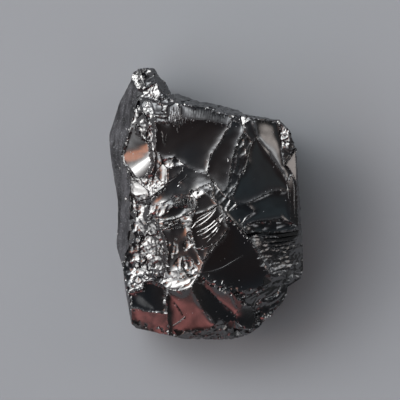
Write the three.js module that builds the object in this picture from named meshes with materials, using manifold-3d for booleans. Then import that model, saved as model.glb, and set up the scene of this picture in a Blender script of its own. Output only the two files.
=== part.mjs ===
// A palm-sized chunk of lustrous black shungite, broken from its seam as one solid piece.
// Millimetres, +Z up. It lies on the flat joint face of its back, with its length along +Y and
// its glossy broken face up. Heights are measured from that flat back.
import * as THREE from "three";
import { mergeVertices } from "three/addons/utils/BufferGeometryUtils.js";
import Module from "manifold-3d";

const wasm = await Module();
wasm.setup();

// ---- driving sizes -------------------------------------------------------------------------

const BLOCK_HEIGHT = 20.6; // the uncut block, a little above the highest ridge
const CUT_TOP = 24; // every cutter reaches up to here
const CUT_FLOOR = -6; // and the cutters of steep sides down to here
const GRID = 2.2; // spacing of the vertices on a hollow facet
const FLOOR_GRID = 1.1; // and on a facet that is sunk to a floor of its own
const FLOOR_WALL = 1.2; // width of the slope between such a facet's rim and its floor
const OVERLAP = 0.02; // neighbouring facet cutters share this much, so no skin is left between
const JOIN = 1e-4; // vertices closer than this are one vertex
const TINY = 1e-6;
const MIDDLE_SEARCH = 0.7; // spacing of the points tried for the middle of a facet
const RIB_KEEL = 0.9; // depth of a rib's foot, sunk into the face
const WALL_REACH = 90; // size of the blocks that cut the walls
const CHIP_SEED = 7;
const CHIP_LEAST = 0.75; // the smallest chip of a patch, as a share of its stated radius
const CHIP_SPREAD = 0.5; // and how much more the largest one has
const SCAR_DETAIL = 3; // how finely a wall scar's round cutter is divided

// Floor of the bowl: where its middle line starts, how fast it climbs to the right, how much the
// line bends up the face, and how strongly the floor curls up below and above the line.
const BOWL = { from: [-16.7, 9, 12], climb: 0.37, bend: 0.075, below: 0.55, above: 0.33, width: 5 };
// Floor of the lower left hollow: a corner of it, and its climb to the right and up the face.
const DIP = { from: [-14.9, -20.6, 12.9], right: 0.1, up: 0.22 };

// Silhouette of the chunk from above, clockwise from the tip: [x, y].
const OUTLINE = [
  [-13.6, 27.2], [-12, 27.6], [-10.3, 27.4], [-8.9, 25.3], [-7.9, 24.5], [-6.8, 22.1],
  [-5.5, 22.4], [-1, 20.8], [1.5, 20.5], [6.7, 19.1], [7.6, 18.2], [14.8, 17],
  [16.9, 15], [18.2, 11.4], [18.6, 6], [19.1, 0], [19.7, -10], [19.7, -13],
  [19.2, -15], [16.5, -16.7], [16.4, -18.3], [15.3, -20.1], [13.7, -21.7], [13.6, -22.4],
  [12.3, -23.1], [10.9, -24.8], [8.5, -26.6], [5, -27.5], [0, -27.6], [-4.5, -27.3],
  [-7.5, -26.5], [-14, -25.1], [-15, -24.1], [-16.2, -18], [-16.6, -13], [-18.2, -8.5],
  [-17.8, -4], [-17.8, 0.5], [-18.6, 5], [-19.4, 10], [-19.7, 13.9], [-18.6, 17],
  [-17.6, 20.5], [-15.3, 24.5], [-14.5, 26.5],
];

// Corners where the ridges of the broken face meet: [x, y, height].
const CORNERS = {
  // round the tip, outside the silhouette
  tip0: [-15.4, 29, 9.3], tip1: [-12, 29.4, 7], tip2: [-8.2, 28.8, 7.5], tip3: [-6.6, 26, 9],
  tip4: [-6.4, 22.4, 13],
  // ridge between the broken face and the dull left side, from the tip down
  left0: [-14.6, 26.4, 11.7], left1: [-14.9, 25.3, 11.8], left2: [-13.3, 22.3, 13.3],
  left3: [-13.4, 21, 13.8], left4: [-14.1, 19.2, 13.6], left5: [-15, 15.9, 13.4],
  left6: [-15.6, 13.4, 12.9], left7: [-16.4, 11, 11.9], left8: [-17, 9.4, 11.2],
  left9: [-16.2, 7.8, 11.9], left10: [-15.2, 6.6, 12.7], left11: [-15, 4.8, 13.3],
  left12: [-15, 2.2, 13.3], left13: [-15, -2, 13.7], left14: [-15.1, -8, 13.6],
  left15: [-16, -10, 12.9], left16: [-16.6, -13, 12.2], left17: [-15.5, -17.8, 13.2],
  left18: [-14.9, -20.6, 12.5], left19: [-14.8, -24.4, 10.4],
  // dull left side, well outside the silhouette
  side0: [-17.4, 30, 0], side1: [-19.5, 24, -3], side2: [-22.6, 14.5, -2], side3: [-21.2, 2, -4],
  side4: [-21, -9, -4], side5: [-19, -20, -4], side6: [-17.4, -27, -4],
  // small facets of the tip
  peak1: [-13, 26.9, 12.5], peak2: [-12.6, 25.2, 13.2], peak3: [-10.4, 25.8, 12.8],
  peak4: [-12, 23.2, 14.2], peak5: [-9.9, 24.4, 14.3], peak6: [-8.8, 22.6, 15.1],
  peak7: [-10.6, 22.6, 14.2], peak8: [-12.6, 20.4, 14.5], peak9: [-11.2, 20.6, 15],
  peak10: [-9.9, 20.5, 15.4], peak11: [-7.4, 21.4, 15.2], peak12: [-6, 20.3, 15.8],
  peak13: [-10.2, 17.7, 16.6], peak14: [-12.4, 18.3, 15.2], peak15: [-7.8, 19.6, 16.1],
  peak16: [-8, 17.5, 17.2], peak17: [-10, 16.4, 17], peak18: [-12.9, 15.9, 14.9],
  peak19: [-11.4, 16.8, 15.9], peak20: [-13.2, 14.2, 14.7], peak21: [-10, 12.4, 16.6],
  // top ridge, and the foot of the ledge under it
  top0: [-5, 19.9, 16.4], top1: [-2.5, 19.7, 17], top2: [0, 19.3, 17], top3: [1.5, 18.6, 17.2],
  top4: [5, 17.6, 17.2], top5: [7, 17.5, 17], top6: [9.3, 17, 18.2], top7: [11.5, 16.9, 16.4],
  top8: [14.4, 16.6, 15.4], top9: [16.6, 14.6, 16.2],
  lip0: [-7, 16.3, 17.5], lip1: [-5, 17, 17.8], lip2: [0, 16.7, 17.9], lip3: [4.2, 15.8, 18],
  // top side, well outside the silhouette
  back0: [-5.6, 24.4, 0], back1: [1, 22.4, 0], back2: [7.6, 20.6, 0], back3: [16.2, 18.8, 0],
  // long hackle lines of the upper face
  hackle0: [4.4, 14.8, 18.2], hackle1: [3, 12.4, 18.3], hackle2: [1.3, 9.8, 18.4],
  hackle3: [0.9, 8.6, 18.4], hackle4: [0.2, 6.2, 18.4],
  seam0: [5.4, 16.9, 17.7], seam1: [7.3, 15.7, 17.6], seam2: [7.6, 14.4, 18.2],
  seam3: [6.1, 11.2, 18.6], seam4: [5.4, 9, 18.8], seam5: [5, 6, 19], seam6: [4.4, 3.2, 19.3],
  strip0: [9.2, 12.3, 18.3], strip1: [8.5, 9.9, 18.6], strip2: [8.3, 8.2, 18.8],
  strip3: [7.4, 6.3, 19], strip4: [6.6, 5.1, 19.1],
  // scoop out of the upper right corner
  scoop1: [10.2, 13.2, 17.9], scoop2: [12.5, 10, 17.9], scoop3: [15, 6.6, 17.7],
  scoop4: [16.4, 4, 17.4], scoop5: [17.3, 6.2, 16.5], scoop6: [16, 7.8, 16.8],
  scoop7: [15.2, 11.5, 15.6], scoop8: [14.9, 14.2, 15.5], scoop9: [16.9, 11.6, 16.3],
  scoop10: [17.4, 9.8, 15.5], scoop11: [18, 10.8, 14.9],
  // right edge
  edge0: [16.8, 2.6, 17.3], edge1: [16.9, -3.6, 17], edge2: [18.6, -4.3, 15.9], edge3: [18.5, 0, 16.1],
  edge4: [18.2, 4.5, 16.5],
  right0: [20.2, 15.5, 8], right1: [20.7, 6, 8], right2: [21, -4.2, 8], right3: [22.6, -9.8, 9],
  right4: [22, -15, 9],
  // shallow step across the right of the face
  step0: [8.2, 0.1, 19.4], step1: [10, 0.9, 19], step2: [11.5, 1.6, 18.7], step3: [13, 2.3, 18.3],
  step4: [14.8, 2.7, 17.9], knee0: [6.3, 0.1, 19.7], knee1: [5, 1, 19.7], knee2: [9.5, -1.4, 18.9],
  knee3: [7.4, -3.8, 19.1],
  foot1: [10, 0.9, 18.7], foot2: [11.5, 1.6, 18.3], foot3: [13, 2.3, 18],
  // arched ledge on the lower right: its lip, and the floor under the lip
  arch0: [7.4, -5.1, 19.2], arch1: [8.4, -4, 19], arch2: [10, -3.3, 18.6], arch3: [12.5, -3.2, 18.2],
  arch4: [15, -2.8, 17.6], under0: [8.3, -4.3, 18.4], under1: [10, -3.7, 18],
  under2: [12.5, -3.6, 17.7], under3: [15, -3.2, 17.3], under4: [17.6, -5.3, 16.2],
  under5: [13, -5.6, 16.9], under6: [9.6, -5.7, 17.7], under7: [8.3, -6, 18.3],
  // spine: the rough main ridge, running down to the right
  spine0: [2.4, -0.1, 20.1], spine1: [4, -1.8, 20.1], spine2: [5.5, -3.5, 19.7],
  spine4: [8.8, -6.8, 18.8], spine5: [10, -9, 18.4], spine6: [12, -12.1, 17.7],
  spine7: [13, -14.3, 17.1],
  // fan of ribs to the left of the spine
  fan0: [4.4, -4.9, 19.5], fan1: [2.7, -7.4, 19.2], fan2: [0.6, -10, 18.8], fan3: [-0.4, -11.6, 18.6],
  fan4: [-1.6, -9.8, 18.2], fan5: [-2.6, -6.5, 18.3], fan6: [-2.9, -4.5, 18.5],
  fan7: [-2.6, -2.1, 19.1], fan8: [0, -1.5, 19.6], fan9: [-1.3, -13.9, 18.4],
  // small dark plate and the bright crest over it
  plate0: [1.2, 1.6, 19.8], plate1: [0, 2.3, 19.6], plate2: [-0.8, 1.8, 19.4],
  plate3: [-1.8, 1, 19.2], plate4: [-1.6, 0, 19.2],
  crest0: [-2.7, 2, 18.4], crest1: [-1.3, 3.2, 18.8], crest2: [0.3, 3.9, 18.9], crest3: [1.6, 4.4, 18.8],
  crest4: [3.3, 2.3, 19.6],
  // lower end of the upper hollow
  hollow0: [-2, 6.5, 17.9], hollow1: [-4.2, 7.8, 17.6], hollow2: [-6.2, 9.3, 17.1],
  hollow3: [-8.3, 9, 16.8], hollow4: [-9.9, 10.4, 16.4], hollow5: [-6, 7.7, 17.4],
  hollow6: [-7.6, 7, 17.1], hollow7: [-8.6, 8.2, 16.5],
  slant0: [-11, 1.4, 16.3], slant1: [-8.3, 3, 17], slant2: [-7.6, 4.2, 17.1],
  slant3: [-5.2, 6.1, 17.6],
  // lens-shaped scoop left of the plate
  lens0: [-3, 1.8, 18.3], lens1: [-6.2, 1.7, 17.5], lens2: [-7, 0.9, 17.4], lens3: [-8.2, 0.2, 17.3],
  lens4: [-10.8, -0.4, 16], lens5: [-11.6, -2.4, 15.6], lens6: [-9.5, -3.5, 16.5],
  lens7: [-7.5, -3.2, 17.2], lens8: [-5, -2.5, 17.7], lens9: [-3, -1.8, 18.4],
  lens10: [-2, -0.8, 18.8], lens11: [-7.6, -1.4, 17.5], lens12: [-3.8, -0.9, 17.3],
  lens13: [-6.6, -0.3, 17.9], lens14: [-9, -2.4, 16.9],
  // bowl on the left, under the tip
  bowl0: [-13.8, 15.9, 14.2], bowl1: [-12.2, 12.9, 15.1], bowl2: [-10.8, 12.4, 15.9],
  bowl3: [-10.6, 10.5, 16.2], bowl4: [-10.2, 8, 16.1], bowl5: [-11, 6, 16],
  bowl6: [-12.6, 5.1, 14.7], bowl7: [-14.3, 5.3, 13.7],
  fin0: [-10, 6.2, 16], fin1: [-8.9, 4.6, 16.4],
  // left slope of hackly chips
  slope0: [-13.9, 4.6, 14.1], slope1: [-11.6, 2.9, 15.3], slope2: [-11.3, 1.5, 15.4],
  slope3: [-12.2, 1.9, 15], slope4: [-14, 1.7, 14], slope5: [-11.2, -0.1, 14.9],
  slope6: [-13.8, -0.3, 13.4], slope7: [-9, -4.9, 16.8], slope8: [-8, -7, 16.8],
  slope9: [-7.5, -10, 16.9], slope10: [-8, -13, 16.2], slope11: [-8.6, -15.2, 15.2],
  slope12: [-9.2, -15.8, 15.3], slope13: [-10.5, -15.3, 15.4], slope14: [-12.3, -15.5, 14.6],
  slope15: [-12.6, -17, 14.5], slope16: [-7, -5, 17.3], slope17: [-4, -4.6, 17.8],
  // white wing over the lower facets
  wing0: [-7.2, -14.8, 16], wing1: [-4.5, -14.8, 17.5], wing2: [-3, -14.1, 18],
  wing3: [-2.3, -15.4, 18.3], wing4: [-2.9, -16.7, 18.3], wing5: [-4.5, -17.4, 17.9],
  wing6: [-6.6, -17.2, 16.9], wing7: [-7.8, -16.8, 15.9], wing8: [-7, -13.6, 16.3],
  wing9: [-5.6, -13.2, 17.2],
  // facets that fall to the lower edge
  fall0: [-7.9, -19, 15.5], fall1: [-7.7, -22, 13.6], fall2: [-7.2, -27.4, 9.6],
  fall3: [-12, -21.6, 12.6], fall4: [-14.6, -27, 9], fall5: [-0.5, -21.3, 14.5],
  fall6: [1.9, -24.4, 12.4], fall7: [1, -25.4, 11.7], fall8: [-4, -26, 11],
  groove0: [-0.8, -15.9, 17.4], groove1: [2, -18.6, 15.2], groove2: [5.8, -22.3, 12.8],
  groove3: [7, -24.9, 11.7],
  brow0: [0.2, -15, 18.2], brow1: [2.8, -16.6, 17.5], brow2: [5, -17.6, 16.8],
  brow3: [8, -19.6, 15.2], brow4: [6.6, -21.4, 13.6],
  low0: [9, -20.3, 13.9], low1: [10.1, -21.4, 12.4], low2: [9.9, -25.2, 10.6],
  low3: [8.5, -17.3, 16.8], low4: [11.5, -16.5, 16.9], low5: [12, -25.6, 9.2],
  low6: [14.8, -22.9, 12], low7: [18, -18, 13],
  rim0: [11, -28, 5], rim1: [4, -30, 4], rim2: [-5, -29.4, 5],
};

// Facets of the broken face and of the two sides seen with it: each is cut inside its own rim
// of corners and is hollowed in the middle by the given depth.
const FACETS = [
  { name: "left side, upper", rim: "left0..2 left3 left4 left5 left6 left7 left8 side2 side1 side0" },
  { name: "left side, middle", rim: "left8..14 side4 side3 side2" },
  { name: "left side, lower", rim: "left14..19 side6 side5 side4" },
  { name: "top side, left", rim: "tip4 back0 back1 back2 top5 top4 top3 top2 top1 top0 peak12" },
  { name: "top side, right", rim: "top5 back2 back3 top8 top7 top6" },

  { name: "tip, bright chip", rim: "left0 side0 tip0 peak1 peak2 left1" },
  { name: "tip, end", rim: "tip0 tip1 tip2 peak3 peak2 peak1" },
  { name: "tip, right shoulder", rim: "peak3 tip2 tip3 peak5" },
  { name: "tip, dark plate", hollow: 0.2, rim: "peak2 peak3 peak5 peak4" },
  { name: "tip, left chip", rim: "left1 peak2 peak4 left2" },
  { name: "tip, right flank", rim: "peak5 tip3 tip4 peak11 peak6" },
  { name: "tip, bright column", rim: "peak5 peak6 peak10 peak7" },
  { name: "tip, dark hollow", hollow: 0.3, rim: "peak4 peak5 peak7 peak10 peak9 peak8 left3 left2" },
  { name: "tip, notch", rim: "peak6 peak11 peak10" },
  { name: "tip, lower shoulder", hollow: 0.2, rim: "peak10 peak11 peak12 peak15" },
  { name: "tip, foot", rim: "peak11 tip4 peak12" },
  { name: "grey plate", hollow: 0.2, rim: "peak9 peak10 peak15 peak16 peak13" },
  { name: "bright sliver", rim: "peak8 peak9 peak13 peak14" },
  { name: "left crumple, upper", hollow: 0.2, rim: "left3 peak8 peak14 left4" },
  { name: "left crumple, lower", hollow: 0.2, rim: "left4 peak14 peak19 peak18 bowl0 left5" },
  { name: "neck, upper", rim: "peak14 peak13 peak17 peak19" },
  { name: "neck, lower", hollow: 0.2, rim: "peak18 peak19 peak17 peak21 bowl2 bowl1 peak20 bowl0" },

  { name: "combed strip", hollow: 0.2, rim: "peak15 peak12 top0 lip1 lip0 peak17 peak13 peak16" },
  { name: "top ledge", hollow: 0.15, rim: "top0..4 seam0 lip3 lip2 lip1" },
  { name: "top notch", rim: "top4 top5 seam1 seam0" },
  { name: "top chip", rim: "top5 top6 seam1" },
  { name: "upper hollow", hollow: 0.3, rim: "lip0..3 hackle0..4 hollow0..4 peak21 peak17" },
  {
    name: "lower hollow", hollow: 0.03,
    rim: "hollow1 hollow0 hackle4 crest3 crest2 crest1 crest0 lens0..4 slant0..3",
  },
  { name: "black triangle", hollow: 0.02, rim: "slant2 slant3 hollow1 hollow5 hollow6" },
  { name: "sparkling knot", rim: "hollow6 hollow5 hollow1 hollow2 hollow3 hollow7" },
  {
    name: "hackled band", hollow: 0.12,
    rim: "hackle0 lip3 seam0 seam1 seam2..6 crest4 crest3 hackle4 hackle3 hackle2 hackle1",
  },
  { name: "rough strip", hollow: 0.1, rim: "seam2 strip0..4 knee1 crest4 seam6 seam5 seam4 seam3" },
  { name: "upper right corner", hollow: 0.15, rim: "seam1 top6 scoop1 strip0 seam2" },
  {
    name: "slate face", hollow: 0.3,
    rim:
      "knee1 strip4 strip3 strip2 strip1 strip0 scoop1..4 edge0 step4 step3 step2 step1 " +
      "step0 knee0",
  },
  {
    name: "slate face under the step", hollow: 0.25,
    rim: "step0 foot1 foot2 foot3 step4 edge0 edge1 arch4 arch3 arch2 arch1 arch0 knee3 knee2",
  },
  { name: "knee", hollow: 0.2, rim: "spine1 knee1 knee0 step0 knee2 knee3 arch0 spine2" },

  { name: "corner scoop", hollow: 0.5, rim: "top6 scoop1..8 top8 top7" },
  { name: "corner scoop, bright chip", rim: "scoop8 scoop7 scoop9 top9 top8" },
  { name: "corner scoop, foot", rim: "scoop7 scoop6 scoop10 scoop9" },
  { name: "corner scoop, lower chip", rim: "scoop6 scoop5 edge4 scoop11 scoop10" },
  { name: "corner edge", rim: "top8 back3 right0 scoop11 scoop10 scoop9 top9" },
  { name: "right edge, upper", rim: "scoop11 right0 right1 edge4" },
  { name: "right edge, inner", rim: "scoop4 edge0..4 scoop5" },
  { name: "right edge, outer", rim: "edge4 edge3 edge2 right2 right1" },

  { name: "arch lip", rim: "arch0..4 edge1 edge2 under3 under2 under1 under0" },
  { name: "arch floor", hollow: 0.2, rim: "arch0 under0..3 edge2 under4..7" },
  {
    name: "ledges", hollow: 0.2,
    rim:
      "under7 under6 under5 under4 edge2 right2 right3 right4 spine7 spine6 spine5 spine4 " +
      "arch0",
  },

  { name: "small dark plate", hollow: 0.15, rim: "spine0 plate0..4 fan7 fan8" },
  { name: "crest", rim: "plate3 crest0..3 plate0 plate1 plate2" },
  { name: "crest, right", hollow: 0.2, rim: "crest3 crest4 knee1 spine1 spine0 plate0" },
  { name: "fan", hollow: 0.2, rim: "spine0 spine1 fan0..8" },
  {
    name: "great black plate", hollow: 0.2,
    rim: "spine1 spine2 arch0 spine4..7 low4 low3 brow2 brow1 brow0 fan9 fan3 fan2 fan1 fan0",
  },

  { name: "lens, comb", rim: "lens3 lens2 lens1 lens0 crest0 plate3 plate4 lens10 lens12 lens13" },
  { name: "lens, bright band", rim: "lens4 lens3 lens13 lens11 lens14 lens5" },
  {
    name: "lens, floor", hollow: 0.3,
    rim: "lens13 lens12 lens10 lens9 lens8 lens7 lens6 lens5 lens14 lens11",
  },
  {
    name: "lined shelf",
    rim: "lens6 lens7 lens8 lens9 lens10 plate4 fan7 fan6 slope17 slope16 slope7",
  },

  {
    name: "bowl", hollow: 0.2, floor: bowlFloor,
    rim: "left5 bowl0 peak20 bowl1..7 left10 left9 left8 left7 left6",
  },
  { name: "bowl, right wall", rim: "bowl2 peak21 hollow4 hollow3 hollow7 fin0 bowl5 bowl4 bowl3" },
  { name: "grey fin", rim: "fin0 hollow7 hollow6 slant2 fin1" },
  {
    name: "crumple under the bowl", hollow: 0.2,
    rim: "left10 bowl7 bowl6 bowl5 fin0 fin1 slant2 slant1 slant0 slope1 slope0 left11",
  },
  { name: "bright left facet", rim: "left11 slope0 slope1 slope2 slope3 slope4 left12" },
  {
    name: "dark left facet", hollow: 0.2,
    rim: "slope4 slope3 slope2 slope1 slant0 lens4 slope5 slope6",
  },
  {
    name: "left slope", hollow: 0.15,
    rim:
      "left12 slope4 slope6 slope5 lens4 lens5 lens6 slope7..15 left17 left16 left15 left14 " +
      "left13",
  },
  {
    name: "brown hollow", hollow: 0.08,
    rim:
      "slope7 slope16 slope17 fan6 fan5 fan4 fan3 fan9 wing2 wing9 wing8 slope10 slope9 " +
      "slope8",
  },

  { name: "wing", hollow: 0.15, rim: "slope11 wing0 wing1 wing2 fan9 wing3..7 slope12" },
  { name: "wing, upper", rim: "slope10 wing8 wing9 wing2 wing1 wing0 slope11" },
  {
    name: "lower left hollow", hollow: 0.5, floor: dipFloor,
    rim: "left17 slope15 slope14 slope13 slope12 wing7 fall0 fall1 fall3 left18",
  },
  { name: "lower left fall", rim: "left18 fall3 fall1 fall2 fall4 side6 left19" },
  { name: "lower middle fall", hollow: 0.3, rim: "wing7 wing6 wing5 wing4 fall5..8 fall2 fall1 fall0" },
  { name: "dark strip", hollow: 0.15, rim: "wing4 wing3 groove0..3 fall6 fall5" },
  { name: "wing end", rim: "fan9 brow0 groove0 wing3" },
  { name: "groove wall", hollow: 0.15, rim: "brow0..2 brow4 groove2 groove1 groove0" },
  { name: "groove foot", rim: "brow2 brow3 brow4" },
  { name: "low black facet", rim: "groove2 brow4 brow3 low0 low1 low2 groove3" },
  { name: "lower right", hollow: 0.3, rim: "low3 low4 spine7 right4 low7 low6 low1 low0 brow3 brow2" },
  { name: "lower right edge", rim: "low1 low6 low5 low2" },
  { name: "lower rim", rim: "fall6 groove3 low2 low5 rim0 rim1 rim2 fall2 fall8 fall7" },
];

// Raised hackle ribs, thin crooked ridges that run over the facets: half thickness and [x, y] path.
const RIBS = [
  { half: 0.16, path: [[2.3, -0.4], [1, -1.8], [-0.1, -2.6], [-1.2, -3.3]] },
  { half: 0.18, path: [[2.4, -0.5], [1.6, -1.7], [0.3, -3.1], [-1.2, -4.2]] },
  { half: 0.2, path: [[3.7, -1.9], [2.2, -3.3], [0.4, -4.7], [-1.3, -5.4]] },
  { half: 0.18, path: [[3.6, -2.3], [2.4, -3.9], [0.8, -5.4], [-1.1, -6.2]] },
  { half: 0.22, path: [[3.8, -2.5], [3, -3.8], [1.5, -5.9], [-0.5, -7]] },
  { half: 0.16, path: [[3.7, -3.2], [2.7, -5.2], [1.4, -6.9], [0, -7.9]] },
  { half: 0.18, path: [[4.4, -4.9], [3.3, -6.5], [1.9, -8.1], [0.7, -10]] },
  { half: 0.15, path: [[-1.3, -13.6], [2, -13.2], [5, -11.7], [7.5, -10.2]] },
  { half: 0.2, path: [[-13.5, 0], [-11, 1.4], [-8.3, 3], [-7.6, 4.1], [-5.3, 6]] },
  { half: 0.18, path: [[-5.5, 3.8], [-5.1, 4.4], [-4.2, 5.1], [-3.8, 5.9]] },
  { half: 0.2, path: [[-9.3, -4.3], [-7.5, -3.8], [-6, -3.1], [-3.2, -2.3]] },
  { half: 0.16, path: [[-8.9, -4.8], [-6.8, -4.2], [-5, -3.4]] },
  { half: 0.16, path: [[-7.4, -4.9], [-5.2, -4.5], [-3.4, -4.3]] },
  { half: 0.2, path: [[5.3, 16.6], [4.4, 14.8], [3, 12.4], [1.4, 10], [0.9, 8.6]] },
  { half: 0.16, path: [[7.6, 14.4], [6.9, 12.9], [6.1, 11.2]] },
  { half: 0.18, path: [[8.5, 9.9], [8.2, 8.1], [7.4, 6.3], [6.6, 5.1]] },
  { half: 0.22, path: [[7.3, -3.8], [8.2, -2.6], [9.4, -1.7]] },
  { half: 0.3, path: [[4.8, -1.5], [6.2, 0]] },
];

// Patches of hackly chips: where, how far apart, how big a chip is and how much of it bites.
const CHIP_PATCHES = [
  {
    spacing: 2.1, radius: 2.1, bite: 0.4,
    area: [[-15, 0.5], [-11.5, -0.5], [-9.5, -4.5], [-7.8, -8], [-8, -14.5], [-15, -17.4], [-16.6, -12]],
  },
  {
    spacing: 2.5, radius: 2.1, bite: 0.25,
    area: [[-7.5, -5.5], [-3.5, -6], [-2.5, -9], [-1.5, -11.5], [-3, -13.5], [-7.5, -13]],
  },
  {
    spacing: 1.9, radius: 1.7, bite: 0.3,
    area: [[-14.2, 4.6], [-11, 6], [-8.2, 4.6], [-9, 3.2], [-12.5, 2.8]],
  },
  {
    spacing: 2.2, radius: 1.9, bite: 0.35,
    area: [
      [-14.6, 27], [-10, 27.5], [-7, 22.5], [-7, 20.5], [-9.8, 19.8], [-12.5, 17.5], [-14.2, 17],
      [-14, 21],
    ],
  },
  { spacing: 2, radius: 1.8, bite: 0.3, area: [[-12.8, 17.8], [-10, 17], [-9.6, 12.6], [-12.4, 13.2]] },
  { spacing: 2, radius: 1.8, bite: 0.15, area: [[5.3, 10.6], [8, 10.6], [7, 5], [5, 4.4]] },
  {
    spacing: 2.3, radius: 2.2, bite: 0.4,
    area: [[11.6, -10], [19.6, -9], [19.6, -13], [17, -16.5], [13.2, -15]],
  },
  {
    spacing: 2.3, radius: 2.1, bite: 0.4,
    area: [[3, -16.6], [8.5, -17.4], [13, -15.5], [16.5, -17], [13.5, -22.5], [8.5, -20], [5, -18.6]],
  },
  { spacing: 2.4, radius: 2.1, bite: 0.45, area: [[-6, -26.4], [2, -25], [10, -25.4], [7, -28], [-5, -28]] },
  { spacing: 2, radius: 1.7, bite: 0.25, area: [[14.8, 15.8], [17, 14.8], [18.4, 11], [16.2, 11]] },
  { spacing: 1.9, radius: 1.5, bite: 0.2, area: [[-15, -19], [-12.4, -19.4], [-12.4, -22], [-15, -23]] },
];

// Ledges that step down across the lower right, one under the other along the spine.
const LEDGES = 5;
const LEDGE_START = [9.3, -6.3]; // left end of the first ledge
const LEDGE_STEP = [0.65, -0.85]; // from one ledge to the next
const LEDGE_END_X = 19;
const LEDGE_RISE = 0.9; // the right end lies this much further up the face than the left end
const LEDGE_DROP = 0.32;

// Broken walls under the silhouette, clockwise: both ends at the height where the wall begins, how
// far it leans in towards the back (degrees), and whether it stops at an inward corner.
const WALLS = [
  { from: [-14.2, 27.2], to: [-10.2, 27.65], height: 6.5, lean: 32 },
  { from: [-10.3, 27.4], to: [-6.8, 22.2], height: 8, lean: 15, stopsAtEnd: true },
  { from: [-6.4, 22.7], to: [14.8, 17.05], height: 5, lean: 12, stopsAtStart: true },
  { from: [14.8, 17.05], to: [18.3, 11.6], height: 9, lean: 17 },
  { from: [18.5, 11.5], to: [19.8, -13], height: 10, lean: 13 },
  { from: [19.3, -15], to: [11, -25], height: 8.5, lean: 19 },
  { from: [9, -26.8], to: [-5, -27.7], height: 5, lean: 15 },
  { from: [-4, -27.5], to: [-14.4, -25.1], height: 6.5, lean: 18 },
  { from: [-15.4, -24.3], to: [-18.35, -8.5], height: 5, lean: 24 },
  { from: [-18.3, -8.5], to: [-19.8, 13.9], height: 4.5, lean: 21 },
  { from: [-19.8, 13.9], to: [-14.8, 26.3], height: 4, lean: 26 },
];

// Scars struck from the walls and from the edge of the back: middle of the scar, the way it faces
// (degrees from +X) and how far down it looks, its radius and how deep it bites.
const WALL_SCARS = [
  { at: [16.8, 3, 2], faces: 6, down: 22, radius: 26, bite: 1.2 },
  { at: [17.2, -9, 1], faces: -4, down: 28, radius: 19, bite: 1.1 },
  { at: [14.8, 12, 1.5], faces: 40, down: 30, radius: 17, bite: 1.1 },
  { at: [12, -19, 1.5], faces: -42, down: 28, radius: 17, bite: 1.1 },
  { at: [3, -25.6, 0.5], faces: -86, down: 28, radius: 20, bite: 1.1 },
  { at: [-9.5, -24.2, 1], faces: -106, down: 32, radius: 14, bite: 1 },
  { at: [5, 18.2, 0], faces: 77, down: 36, radius: 18, bite: 0.9 },
  { at: [-9.6, 21.2, 1], faces: 40, down: 40, radius: 11, bite: 0.9 },
  { at: [-15.4, -2, 0], faces: 184, down: 42, radius: 15, bite: 0.7 },
];

// ---- helpers -------------------------------------------------------------------------------

// Turns a three.js geometry into a solid that can be joined and cut.
function solid(geometry) {
  const bare = geometry.clone();
  bare.deleteAttribute("normal");
  bare.deleteAttribute("uv");
  const joined = mergeVertices(bare, JOIN);
  return new wasm.Manifold(
    new wasm.Mesh({
      numProp: 3,
      vertProperties: joined.attributes.position.array,
      triVerts: new Uint32Array(joined.index.array),
    }),
  );
}

// Repeatable random numbers from 0 to 1.
function randomFrom(seed) {
  let state = seed;
  return () => {
    state = (Math.imul(state, 1664525) + 1013904223) >>> 0;
    return state / 2 ** 32;
  };
}

// Spells out a rim: "fan0..3" stands for fan0 fan1 fan2 fan3.
function rimCorners(rim) {
  const names = rim.split(" ").flatMap((word) => {
    const [from, last] = word.split("..");
    if (last === undefined) return [from];
    const stem = from.replace(/\d+$/, "");
    const first = Number(from.slice(stem.length));
    return Array.from({ length: Number(last) - first + 1 }, (_, i) => stem + (first + i));
  });
  return names.map((name) => CORNERS[name]);
}

function inside(corners, x, y) {
  let odd = false;
  corners.forEach(([ax, ay], i) => {
    const [bx, by] = corners[(i + 1) % corners.length];
    if (ay > y !== by > y && x < ax + ((y - ay) / (by - ay)) * (bx - ax)) odd = !odd;
  });
  return odd;
}

function bounds(corners) {
  const xs = corners.map((corner) => corner[0]);
  const ys = corners.map((corner) => corner[1]);
  return { x0: Math.min(...xs), x1: Math.max(...xs), y0: Math.min(...ys), y1: Math.max(...ys) };
}

// Height over (x, y) of a sheet stretched across a rim: mean value coordinates, so that the sheet
// runs straight along every edge of the rim and smoothly inside it.
function stretchedHeight(corners, x, y) {
  const count = corners.length;
  const away = corners.map(([cx, cy]) => [cx - x, cy - y]);
  const far = away.map(([dx, dy]) => Math.hypot(dx, dy));
  const nearest = far.findIndex((reach) => reach < TINY);
  if (nearest >= 0) return corners[nearest][2];
  const halfTan = away.map(([ax, ay], i) => {
    const j = (i + 1) % count;
    const [bx, by] = away[j];
    const cross = ax * by - ay * bx;
    return (far[i] * far[j] - ax * bx - ay * by) / (Math.abs(cross) < TINY ? TINY : cross);
  });
  let total = 0;
  let height = 0;
  for (let i = 0; i < count; i++) {
    const weight = (halfTan[(i + count - 1) % count] + halfTan[i]) / far[i];
    total += weight;
    height += weight * corners[i][2];
  }
  return height / total;
}

// Distance from (x, y) to the rim, rounded off where two edges are equally near.
function rimDistance(corners, x, y) {
  let sum = 0;
  corners.forEach(([ax, ay], i) => {
    const [bx, by] = corners[(i + 1) % corners.length];
    const along = ((x - ax) * (bx - ax) + (y - ay) * (by - ay)) / ((bx - ax) ** 2 + (by - ay) ** 2);
    const t = Math.min(1, Math.max(0, along));
    const gap = Math.hypot(x - ax - t * (bx - ax), y - ay - t * (by - ay));
    sum += 1 / Math.max(gap, TINY) ** 2;
  });
  return 1 / Math.sqrt(sum);
}

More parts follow.
